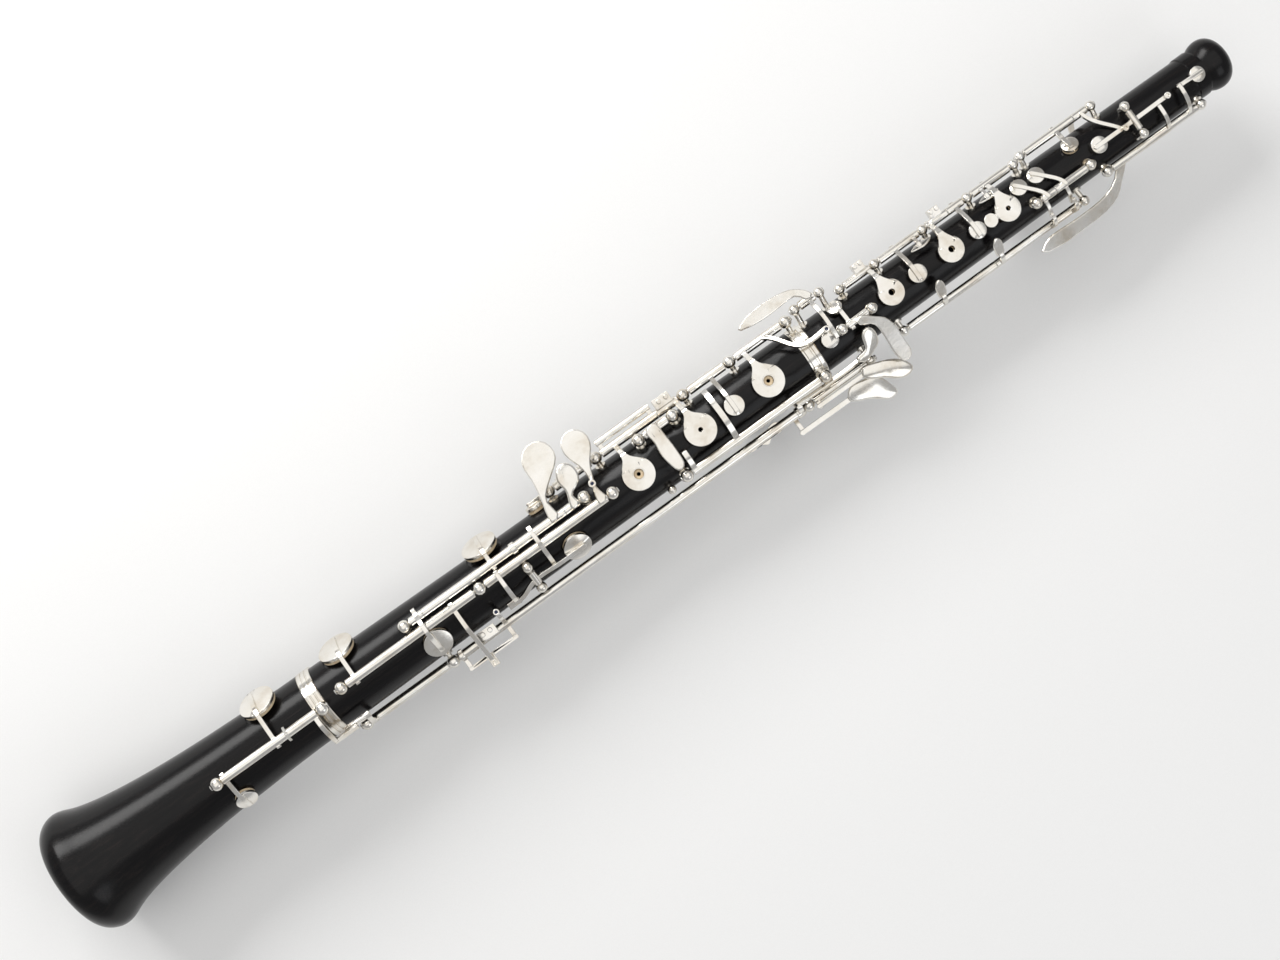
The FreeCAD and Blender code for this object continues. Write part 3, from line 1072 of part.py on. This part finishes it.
def main():
    woods = upper_joint(), lower_joint(), bell()
    fittings(*woods)
    rods()
    thumb_rest(woods[1])
    for build in (bell_key, low_b_key, low_c_key, c_sharp_key, e_flat_keys, low_b_lever, left_e_flat_lever,
                  low_b_flat_lever, f_resonance_key, right_hand_stack, f_touch_key, f_cross_lever,
                  side_trill_key, g_sharp_key, left_hand_stack, trill_keys, d_trill_key, octave_keys):
        build()
    doc.recompute()
    check()
    for item in exported:
        item.Shape.exportStep(f"parts/{item.Label}.step")
        print(item.Label, len(item.Shape.Solids), round(item.Shape.Volume))


main()
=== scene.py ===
"""Looks of the oboe: finishes, softened key edges and domed touches, screws, studio and camera.

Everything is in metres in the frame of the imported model: X along the instrument towards
the reed, Z to the front, Y to the player's right. Lengths named *_MM are in millimetres.
"""

import json
import math

import bmesh
import bpy
from mathutils import Matrix, Vector


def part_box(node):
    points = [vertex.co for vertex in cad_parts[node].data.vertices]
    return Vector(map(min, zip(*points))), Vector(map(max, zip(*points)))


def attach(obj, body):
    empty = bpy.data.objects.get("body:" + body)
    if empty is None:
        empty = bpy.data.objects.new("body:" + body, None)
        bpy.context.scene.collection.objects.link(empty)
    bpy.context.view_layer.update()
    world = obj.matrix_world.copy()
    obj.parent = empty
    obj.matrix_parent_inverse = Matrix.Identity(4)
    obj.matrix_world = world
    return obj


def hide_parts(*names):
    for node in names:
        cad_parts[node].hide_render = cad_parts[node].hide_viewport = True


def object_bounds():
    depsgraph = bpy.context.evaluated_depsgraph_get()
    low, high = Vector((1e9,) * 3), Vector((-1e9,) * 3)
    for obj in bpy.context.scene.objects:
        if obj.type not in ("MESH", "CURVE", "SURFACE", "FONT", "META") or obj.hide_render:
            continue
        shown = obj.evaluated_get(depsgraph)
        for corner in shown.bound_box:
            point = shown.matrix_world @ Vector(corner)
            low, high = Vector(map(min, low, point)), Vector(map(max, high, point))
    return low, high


MM = 0.001

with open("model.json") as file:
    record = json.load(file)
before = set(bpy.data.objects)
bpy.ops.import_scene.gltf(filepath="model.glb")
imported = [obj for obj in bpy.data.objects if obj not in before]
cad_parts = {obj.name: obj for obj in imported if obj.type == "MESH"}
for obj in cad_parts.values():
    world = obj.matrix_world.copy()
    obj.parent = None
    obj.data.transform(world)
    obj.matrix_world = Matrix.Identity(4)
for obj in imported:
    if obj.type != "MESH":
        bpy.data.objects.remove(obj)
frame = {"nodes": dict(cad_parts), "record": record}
cad_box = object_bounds()
nodes = frame["nodes"]
bodies = frame["record"]["behaviour"]["bodies"]
body_of = {node: body for body, members in bodies.items() for node in members}
slot_of = {part["node"]: part["material_slot"] for part in frame["record"]["subparts"]}
ROOT = "instrument_body"


# ---------------------------------------------------------------- material building blocks

def new_material(name):
    """An empty node material with its shader; returns (material, tree, shader)."""
    material = bpy.data.materials.new(name)
    material.use_nodes = True
    tree = material.node_tree
    return material, tree, tree.nodes["Principled BSDF"]


def coordinates(tree, scale):
    """Object coordinates multiplied by scale, a number or one number per axis."""
    place = tree.nodes.new("ShaderNodeTexCoord")
    mapping = tree.nodes.new("ShaderNodeMapping")
    mapping.inputs["Scale"].default_value = scale if isinstance(scale, tuple) else (scale, scale, scale)
    tree.links.new(place.outputs["Object"], mapping.inputs["Vector"])
    return mapping.outputs["Vector"]


def noise(tree, scale, detail=4.0, roughness=0.6, distortion=0.0):
    node = tree.nodes.new("ShaderNodeTexNoise")
    node.inputs["Scale"].default_value = 1.0
    node.inputs["Detail"].default_value = detail
    node.inputs["Roughness"].default_value = roughness
    node.inputs["Distortion"].default_value = distortion
    tree.links.new(coordinates(tree, scale), node.inputs["Vector"])
    return node.outputs["Fac"]


def ramp(tree, source, stops):
    """Colour ramp over source; stops is a list of (position, colour)."""
    node = tree.nodes.new("ShaderNodeValToRGB")
    elements = node.color_ramp.elements
    while len(elements) < len(stops):
        elements.new(0.5)
    for element, (position, colour) in zip(elements, stops):
        element.position = position
        element.color = (*colour, 1.0)
    tree.links.new(source, node.inputs["Fac"])
    return node.outputs["Color"]


def spread(tree, source, low, high):
    """Source, whose middle range is 0.3 to 0.7, as a number from low to high."""
    node = tree.nodes.new("ShaderNodeMapRange")
    node.inputs["From Min"].default_value = 0.3
    node.inputs["From Max"].default_value = 0.7
    node.inputs["To Min"].default_value = low
    node.inputs["To Max"].default_value = high
    tree.links.new(source, node.inputs["Value"])
    return node.outputs["Result"]


def bump(tree, shader, source, depth_mm, strength):
    node = tree.nodes.new("ShaderNodeBump")
    node.inputs["Strength"].default_value = strength
    node.inputs["Distance"].default_value = depth_mm * MM
    tree.links.new(source, node.inputs["Height"])
    tree.links.new(node.outputs["Normal"], shader.inputs["Normal"])


# ---------------------------------------------------------------- materials

def grenadilla_material():
    """Oiled blackwood: near black, brown-violet streaks along the grain, fine open pores, satin."""
    material, tree, shader = new_material("grenadilla_oiled")
    streaks = noise(tree, (38.0, 620.0, 620.0), detail=6.0, roughness=0.62, distortion=0.25)
    tree.links.new(ramp(tree, streaks, [
        (0.30, (0.0022, 0.0020, 0.0024)),
        (0.52, (0.0040, 0.0035, 0.0038)),
        (0.72, (0.0105, 0.0078, 0.0070))]),
        shader.inputs["Base Color"])
    pores = noise(tree, (210.0, 3600.0, 3600.0), detail=3.0, roughness=0.7)
    tree.links.new(spread(tree, pores, 0.19, 0.29), shader.inputs["Roughness"])
    bump(tree, shader, pores, 0.05, 0.30)
    shader.inputs["Specular IOR Level"].default_value = 0.20
    shader.inputs["Coat Weight"].default_value = 0.04
    shader.inputs["Coat Roughness"].default_value = 0.15
    return material


def silver_material():
    """Silver plate: bright, with a warm bloom where it is handled less, and fine polishing marks."""
    material, tree, shader = new_material("silver_plate_polished")
    bloom = noise(tree, 95.0, detail=3.0, roughness=0.55)
    tree.links.new(ramp(tree, bloom, [
        (0.30, (0.87, 0.85, 0.81)), (0.52, (0.81, 0.78, 0.72)), (0.72, (0.68, 0.62, 0.53))]),
        shader.inputs["Base Color"])
    marks = noise(tree, (900.0, 5200.0, 5200.0), detail=2.0, roughness=0.5)
    tree.links.new(spread(tree, marks, 0.13, 0.24), shader.inputs["Roughness"])
    bump(tree, shader, noise(tree, 240.0, detail=2.0), 0.10, 0.30)
    shader.inputs["Metallic"].default_value = 1.0
    return material


def steel_material(name, dark, light, low_roughness, high_roughness):
    """Turned or drawn steel with marks round its length."""
    material, tree, shader = new_material(name)
    marks = noise(tree, (4200.0, 500.0, 500.0), detail=3.0)
    tree.links.new(ramp(tree, marks, [(0.3, dark), (0.7, light)]), shader.inputs["Base Color"])
    tree.links.new(spread(tree, marks, low_roughness, high_roughness), shader.inputs["Roughness"])
    bump(tree, shader, marks, 0.02, 0.25)
    shader.inputs["Metallic"].default_value = 1.0
    return material


def cork_material():
    """Waxed cork: warm brown granules with dark lenticels."""
    material, tree, shader = new_material("cork_waxed")
    cells = tree.nodes.new("ShaderNodeTexVoronoi")
    cells.inputs["Scale"].default_value = 1.0
    tree.links.new(coordinates(tree, 1500.0), cells.inputs["Vector"])
    tree.links.new(ramp(tree, noise(tree, (900.0, 1500.0, 1500.0), detail=6.0, roughness=0.7), [
        (0.32, (0.17, 0.085, 0.035)), (0.48, (0.42, 0.25, 0.12)), (0.70, (0.56, 0.37, 0.20))]),
        shader.inputs["Base Color"])
    bump(tree, shader, cells.outputs["Distance"], 0.12, 0.5)
    shader.inputs["Roughness"].default_value = 0.72
    return material


def pad_material():
    """Pad skin over felt: cream with a tan edge tone, fine wrinkles and a slight sheen."""
    material, tree, shader = new_material("pad_skin_cream")
    wrinkle = noise(tree, 1300.0, detail=5.0, roughness=0.65)
    tree.links.new(ramp(tree, wrinkle, [
        (0.30, (0.44, 0.30, 0.17)), (0.50, (0.66, 0.52, 0.34)), (0.70, (0.78, 0.68, 0.50))]),
        shader.inputs["Base Color"])
    tree.links.new(spread(tree, wrinkle, 0.45, 0.62), shader.inputs["Roughness"])
    bump(tree, shader, wrinkle, 0.08, 0.35)
    shader.inputs["Sheen Weight"].default_value = 0.15
    return material


def paper_material():
    """Plain white card under the instrument, with a barely visible tooth."""
    material, tree, shader = new_material("card_white")
    tooth = noise(tree, 2600.0, detail=3.0)
    tree.links.new(ramp(tree, tooth, [(0.3, (0.86, 0.86, 0.855)), (0.7, (0.89, 0.89, 0.885))]),
                   shader.inputs["Base Color"])
    bump(tree, shader, tooth, 0.03, 0.15)
    shader.inputs["Roughness"].default_value = 0.9
    return material


silver = silver_material()
blued = steel_material("steel_blued", (0.035, 0.045, 0.085), (0.075, 0.085, 0.13), 0.25, 0.38)
screw_steel = steel_material("steel_screw", (0.46, 0.45, 0.43), (0.66, 0.65, 0.62), 0.20, 0.34)
MATERIAL_OF_SLOT = {
    "grenadilla": grenadilla_material(),
    "silver_plate": silver,
    "steel": steel_material("steel_rod", (0.50, 0.49, 0.47), (0.68, 0.67, 0.65), 0.22, 0.36),
    "cork": cork_material(),
    "pad_skin": pad_material(),
}


# ---------------------------------------------------------------- CAD nodes shown as they are

TURNED_SILVER = ("bell_posts", "lower_joint_posts", "upper_joint_posts", "bell_ring", "middle_ring",
                 "reed_well_liner")


def shape_is_right(name):
    """True for the turned wood, the rods and the turned silver: those shapes need no softer edge."""
    return slot_of[name] in ("grenadilla", "steel") or name in TURNED_SILVER


def give_finish(name):
    """Puts the detailed material in the slots of a CAD node that is shown."""
    for slot in nodes[name].material_slots:
        slot.material = MATERIAL_OF_SLOT[slot_of[name]]


# ---------------------------------------------------------------- finished copies of the other CAD nodes

FLAT_ANGLE = math.radians(1.0)      # faces flatter than this to each other become one
SMOOTH_ANGLE = math.radians(34.0)   # sharper edges stay sharp, or get a bevel
WELD_MM = 0.002                     # vertices nearer to each other than this are one
EDGE_MM = {"silver_plate": 0.17, "pad_skin": 0.30, "cork": 0.15}
EDGE_SEGMENTS = 2

TOUCH_AREA_MM2 = 9.0
TOUCH_SIDES = (24, 36)                             # fewest and most sides of a touch's front face
BLUNTEST_TURN = math.radians(62.0)                 # a touch's outline turns less than this at any corner
CROWN_STEPS_MM = ((0.22, 0.12), (0.30, 0.11))      # inward and outward move of each ring
CROWN_MIDDLE_MM = 0.30


def is_touch(face):
    """True for the broad front face of a finger touch: many sides and no sharp corner."""
    if face.calc_area() < TOUCH_AREA_MM2 * MM * MM:
        return False
    if not TOUCH_SIDES[0] <= len(face.verts) <= TOUCH_SIDES[1]:
        return False
    corners = [vertex.co for vertex in face.verts]
    for before, corner, after in zip(corners[-1:] + corners[:-1], corners, corners[1:] + corners[:1]):
        if (corner - before).angle(after - corner, math.pi) > BLUNTEST_TURN:
            return False
    return True


def sees_all_corners(centre, face):
    """True if straight lines from the centre to the corners stay inside the face."""
    corners = [vertex.co for vertex in face.verts]
    return all((one - centre).cross(two - centre).dot(face.normal) > 0
               for one, two in zip(corners, corners[1:] + corners[:1]))


def crown_touches(work):
    """Raises the flat front of each finger touch to a low dome."""
    work.normal_update()
    broad = [face for face in work.faces if is_touch(face)]
    for inward, outward in CROWN_STEPS_MM:
        bmesh.ops.inset_individual(work, faces=broad, thickness=inward * MM, depth=outward * MM,
                                   use_even_offset=False)
    work.normal_update()
    open_faces = [face for face in broad if sees_all_corners(face.calc_center_median_weighted(), face)]
    bmesh.ops.poke(work, faces=open_faces, offset=CROWN_MIDDLE_MM * MM, center_mode="MEAN_WEIGHTED")


def smooth_but_sharp_edges(mesh):
    """Smooth shading, except across the edges that turn more than SMOOTH_ANGLE."""
    mesh.polygons.foreach_set("use_smooth", [True] * len(mesh.polygons))
    mesh.set_sharp_from_angle(angle=SMOOTH_ANGLE)


def finished_copy(name):
    """A copy of a CAD node with softened edges, and domes on its finger touches, shown instead of it."""
    source = nodes[name]
    mesh = source.data.copy()
    work = bmesh.new()
    work.from_mesh(mesh)
    bmesh.ops.remove_doubles(work, verts=work.verts, dist=WELD_MM * MM)
    bmesh.ops.dissolve_limit(work, angle_limit=FLAT_ANGLE, verts=work.verts, edges=work.edges)
    if slot_of[name] == "silver_plate":
        crown_touches(work)
    work.to_mesh(mesh)
    work.free()
    mesh.materials.clear()
    mesh.materials.append(MATERIAL_OF_SLOT[slot_of[name]])
    smooth_but_sharp_edges(mesh)
    piece = bpy.data.objects.new(name + "_finish", mesh)
    bpy.context.scene.collection.objects.link(piece)
    bevel = piece.modifiers.new("soft_edge", "BEVEL")
    bevel.width = EDGE_MM[slot_of[name]] * MM
    bevel.segments = EDGE_SEGMENTS
    bevel.limit_method = "ANGLE"
    bevel.angle_limit = SMOOTH_ANGLE
    bevel.harden_normals = True
    bevel.use_clamp_overlap = False
    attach(piece, body_of[name])
    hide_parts(name)


# ---------------------------------------------------------------- small hardware

def separate_solids(name):
    """Lowest and highest corner of each separate solid in one CAD node, sorted by place."""
    work = bmesh.new()
    work.from_mesh(nodes[name].data)
    bmesh.ops.remove_doubles(work, verts=work.verts, dist=WELD_MM * MM)
    left = set(work.verts)
    boxes = []
    while left:
        found = []
        to_visit = [left.pop()]
        while to_visit:
            vertex = to_visit.pop()
            found.append(vertex)
            for link in vertex.link_edges:
                other = link.other_vert(vertex)
                if other in left:
                    left.discard(other)
                    to_visit.append(other)
        places = [vertex.co for vertex in found]
        boxes.append((Vector([min(p[i] for p in places) for i in range(3)]),
                      Vector([max(p[i] for p in places) for i in range(3)])))
    work.free()
    return sorted(boxes, key=lambda box: tuple(box[0]))


def mesh_piece(name, work, material, body):
    """Makes an object from a bmesh, with its finish, and lets it ride on a body."""
    mesh = bpy.data.meshes.new(name)
    bmesh.ops.recalc_face_normals(work, faces=work.faces)
    work.to_mesh(mesh)
    work.free()
    mesh.materials.append(material)
    smooth_but_sharp_edges(mesh)
    piece = bpy.data.objects.new(name, mesh)
    bpy.context.scene.collection.objects.link(piece)
    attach(piece, body)


ARC_STEPS = 14              # of each half of a screw head; its floor disc has twice as many
HEAD_FLOOR = (0.0, 0.45)    # lowest and highest level of the floor disc, as shares of the head's height
HEAD_HALVES = (0.40, 1.0)   # the same for the two halves beside the slot
FLOOR_CROWN = 0.02          # shares of the radius by which the top rims are drawn in
HALVES_CROWN = 0.10


def circle_point(radius, angle):
    return radius * math.cos(angle), radius * math.sin(angle)


def add_slotted_head(work, centre, outward, radius, height, slot_width):
    """Adds a screw head to a bmesh: a floor disc and two D-shaped halves with the driver slot between."""
    turn = outward.to_track_quat("Z", "Y").to_matrix().to_4x4()
    place = Matrix.Translation(centre) @ turn
    start = math.asin(slot_width / 2 / radius)

    def ring(points, level):
        return [work.verts.new(place @ Vector((x, y, level))) for x, y in points]

    def prism(points, levels, crown):
        """Closed prism between two levels, with its top rim drawn in by crown."""
        low, high = (height * level for level in levels)
        middle = Vector((sum(p[0] for p in points) / len(points),
                         sum(p[1] for p in points) / len(points)))
        inner = [tuple(middle + (Vector(p) - middle) * (1 - crown)) for p in points]
        rings = [ring(points, low), ring(points, high - crown * radius), ring(inner, high)]
        work.faces.new(list(reversed(rings[0])))
        work.faces.new(rings[-1])
        for below, above in zip(rings, rings[1:]):
            for i in range(len(points)):
                j = (i + 1) % len(points)
                work.faces.new([below[i], below[j], above[j], above[i]])

    sides = 2 * ARC_STEPS
    prism([circle_point(radius, 2 * math.pi * i / sides) for i in range(sides)], HEAD_FLOOR, FLOOR_CROWN)
    for side in (1, -1):
        arc = [start + (math.pi - 2 * start) * i / ARC_STEPS for i in range(ARC_STEPS + 1)]
        prism([circle_point(side * radius, angle) for angle in arc], HEAD_HALVES, HALVES_CROWN)


LOWER_BALL_MM = 2.8          # radii of the posts' balls on the two joints
UPPER_BALL_MM = 2.35
ROD_HEAD_R_MM = 1.15
ROD_HEAD_SHORTER_MM = 1.45   # a head is this much lower than its ball's radius, so it just stands out
ROD_SLOT_MM = 0.34
ROD_SLIMNESS = 1.5           # a rod is at least this many times as long as it is thick


def rod_screws(label, rods, ball_r_mm):
    """A slotted head at each end of every hinge rod that lies along an axis, let into the post."""
    work = bmesh.new()
    for low, high in separate_solids(rods):
        centre = (low + high) / 2
        size = high - low
        along = max(range(3), key=lambda i: size[i])
        if size[along] < ROD_SLIMNESS * max(size[i] for i in range(3) if i != along):
            continue
        axis = Vector([float(i == along) for i in range(3)])
        for sign in (1, -1):
            end = centre + axis * (sign * size[along] / 2)
            add_slotted_head(work, end, axis * sign, ROD_HEAD_R_MM * MM,
                             (ball_r_mm - ROD_HEAD_SHORTER_MM) * MM, ROD_SLOT_MM * MM)
    mesh_piece(label, work, screw_steel, ROOT)


# Adjusting screws: body key, then distance from the top, place across and height of the screw's seat
ADJUSTING_SCREWS_MM = [
    ("low_b_lever", 390.3, -11.8, 13.6),
    ("e_flat_touch_key", 327.6, 8.0, 20.4),
    ("f_sharp_plate_key", 211.6, 3.4, 18.9)]
ADJUSTER_R_MM = 0.68
ADJUSTER_HEIGHT_MM = 0.55
ADJUSTER_SLOT_MM = 0.26


def adjusting_screws():
    """Blued slotted screws in the upright barrels of the bridging keys."""
    for key, distance, across, height in ADJUSTING_SCREWS_MM:
        work = bmesh.new()
        add_slotted_head(work, Vector((-distance, across, height)) * MM, Vector((0.0, 0.0, 1.0)),
                         ADJUSTER_R_MM * MM, ADJUSTER_HEIGHT_MM * MM, ADJUSTER_SLOT_MM * MM)
        mesh_piece(key + "_adjusting_screw", work, blued, body_of[key])


CUP_HEIGHT_MM = 1.9
WIDE_VENT_MM = 2.1
RING_STEPS = 36

# Rings round a vent: inner and outer radius beyond the vent's, lowest and highest level from
# the plate's top, and how far the top rims are drawn in
VENT_RIM_MM = (0.02, 0.55, -0.30, 0.16, 0.09)
VENT_SKIN_MM = (-1.25, -0.03, -2.4, -0.75, 0.25)


def add_ring(work, centre, vent_mm, sizes_mm):
    """Adds a closed ring standing on Z to a bmesh."""
    inner_mm, outer_mm, low_mm, high_mm, crown_mm = sizes_mm
    inner = (vent_mm + inner_mm) * MM
    outer = (vent_mm + outer_mm) * MM
    low, high, crown = low_mm * MM, high_mm * MM, crown_mm * MM
    profile = [(inner, low), (outer, low), (outer, high - crown), (outer - crown, high),
               (inner + crown, high), (inner, high - crown)]
    rings = []
    for step in range(RING_STEPS):
        angle = 2 * math.pi * step / RING_STEPS
        rings.append([work.verts.new(centre + Vector((r * math.cos(angle), r * math.sin(angle), z)))
                      for r, z in profile])
    for one, two in zip(rings, rings[1:] + rings[:1]):
        for i in range(len(profile)):
            j = (i + 1) % len(profile)
            work.faces.new([one[i], one[j], two[j], two[i]])


def plate_bush(name, vent_mm):
    """Rim round the vent of a finger plate, and the skin of the pad drawn up inside it."""
    low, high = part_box(name + "_pad")
    top = Vector(((low.x + high.x) / 2, (low.y + high.y) / 2, high.z + CUP_HEIGHT_MM * MM))
    rim = bmesh.new()
    add_ring(rim, top, vent_mm, VENT_RIM_MM)
    mesh_piece(name + "_vent_rim", rim, silver, body_of[name + "_key"])
    skin = bmesh.new()
    add_ring(skin, top, vent_mm, VENT_SKIN_MM)
    mesh_piece(name + "_vent_skin", skin, MATERIAL_OF_SLOT["pad_skin"], body_of[name + "_key"])


# ---------------------------------------------------------------- studio and camera

CAMERA_PLACE = (-0.3475, -0.0023, 0.720)
CAMERA_TILT = math.radians(3.0)       # the view leans this much towards the reed end
CAMERA_ROLL = math.radians(35.75)     # the instrument rises to the upper right
CAMERA_LENS = 48.1
SENSOR_WIDTH = 36.0
NEAREST_SEEN = 0.01
FLOOR_DROP_MM = 0.3
FLOOR_HALF = 8.0

# Name, place along the instrument from its middle, across, height, width, depth, power, colour
LIGHTS = [
    ("key_light", -0.15, 1.02, 0.62, 0.9, 0.5, 11.0, (1.0, 0.992, 0.98)),
    ("top_light", 0.0, 0.12, 1.35, 2.4, 1.7, 9.0, (1.0, 0.98, 0.945)),
    ("fill_light", 0.25, -0.75, 0.55, 0.5, 0.5, 1.0, (0.95, 0.97, 1.0))]
SKY_COLOUR = (0.96, 0.965, 0.98, 1.0)
SKY_STRENGTH = 0.42


def make_camera():
    forward = Vector((math.sin(CAMERA_TILT), 0.0, -math.cos(CAMERA_TILT)))
    along = Vector((math.cos(CAMERA_TILT), 0.0, math.sin(CAMERA_TILT)))
    across = Vector((0.0, 1.0, 0.0))
    right = along * math.cos(CAMERA_ROLL) - across * math.sin(CAMERA_ROLL)
    up = along * math.sin(CAMERA_ROLL) + across * math.cos(CAMERA_ROLL)
    data = bpy.data.cameras.new("camera")
    data.lens = CAMERA_LENS
    data.sensor_width = SENSOR_WIDTH
    data.clip_start = NEAREST_SEEN
    camera = bpy.data.objects.new("camera", data)
    bpy.context.scene.collection.objects.link(camera)
    turn = Matrix((right, up, -forward)).transposed().to_4x4()
    camera.matrix_world = Matrix.Translation(CAMERA_PLACE) @ turn
    bpy.context.scene.camera = camera


def area_light(name, place, target, width, height, power, colour):
    data = bpy.data.lights.new(name, "AREA")
    data.shape = "RECTANGLE"
    data.size = width
    data.size_y = height
    data.energy = power
    data.color = colour
    light = bpy.data.objects.new(name, data)
    bpy.context.scene.collection.objects.link(light)
    look = (Vector(target) - Vector(place)).to_track_quat("-Z", "Y").to_matrix().to_4x4()
    light.matrix_world = Matrix.Translation(place) @ look


def make_floor():
    """Pale floor just under the instrument."""
    level = cad_box[0].z - FLOOR_DROP_MM * MM
    centre = (cad_box[0] + cad_box[1]) / 2
    work = bmesh.new()
    corners = [work.verts.new((centre.x + x * FLOOR_HALF, centre.y + y * FLOOR_HALF, level))
               for x, y in ((-1, -1), (1, -1), (1, 1), (-1, 1))]
    work.faces.new(corners)
    mesh = bpy.data.meshes.new("floor")
    work.to_mesh(mesh)
    work.free()
    mesh.materials.append(paper_material())
    floor = bpy.data.objects.new("floor", mesh)
    bpy.context.scene.collection.objects.link(floor)


def make_lights():
    """A low light from the player's right, a broad one above, a weak one from the left, and a pale sky."""
    centre = (cad_box[0] + cad_box[1]) / 2
    for name, along, across, height, width, depth, power, colour in LIGHTS:
        area_light(name, (centre.x + along, across, height), (centre.x, centre.y, 0.0),
                   width, depth, power, colour)
    world = bpy.data.worlds.new("studio")
    world.use_nodes = True
    background = world.node_tree.nodes["Background"]
    background.inputs["Color"].default_value = SKY_COLOUR
    background.inputs["Strength"].default_value = SKY_STRENGTH
    bpy.context.scene.world = world
    bpy.context.scene.view_settings.view_transform = "Standard"


make_camera()
make_floor()
make_lights()
for node_name in sorted(nodes):
    if shape_is_right(node_name):
        give_finish(node_name)
    else:
        finished_copy(node_name)
rod_screws("lower_rod_screws", "lower_hinge_rods", LOWER_BALL_MM)
rod_screws("upper_rod_screws", "upper_hinge_rods", UPPER_BALL_MM)
adjusting_screws()
plate_bush("d_plate", WIDE_VENT_MM)
plate_bush("f_sharp_plate", WIDE_VENT_MM)
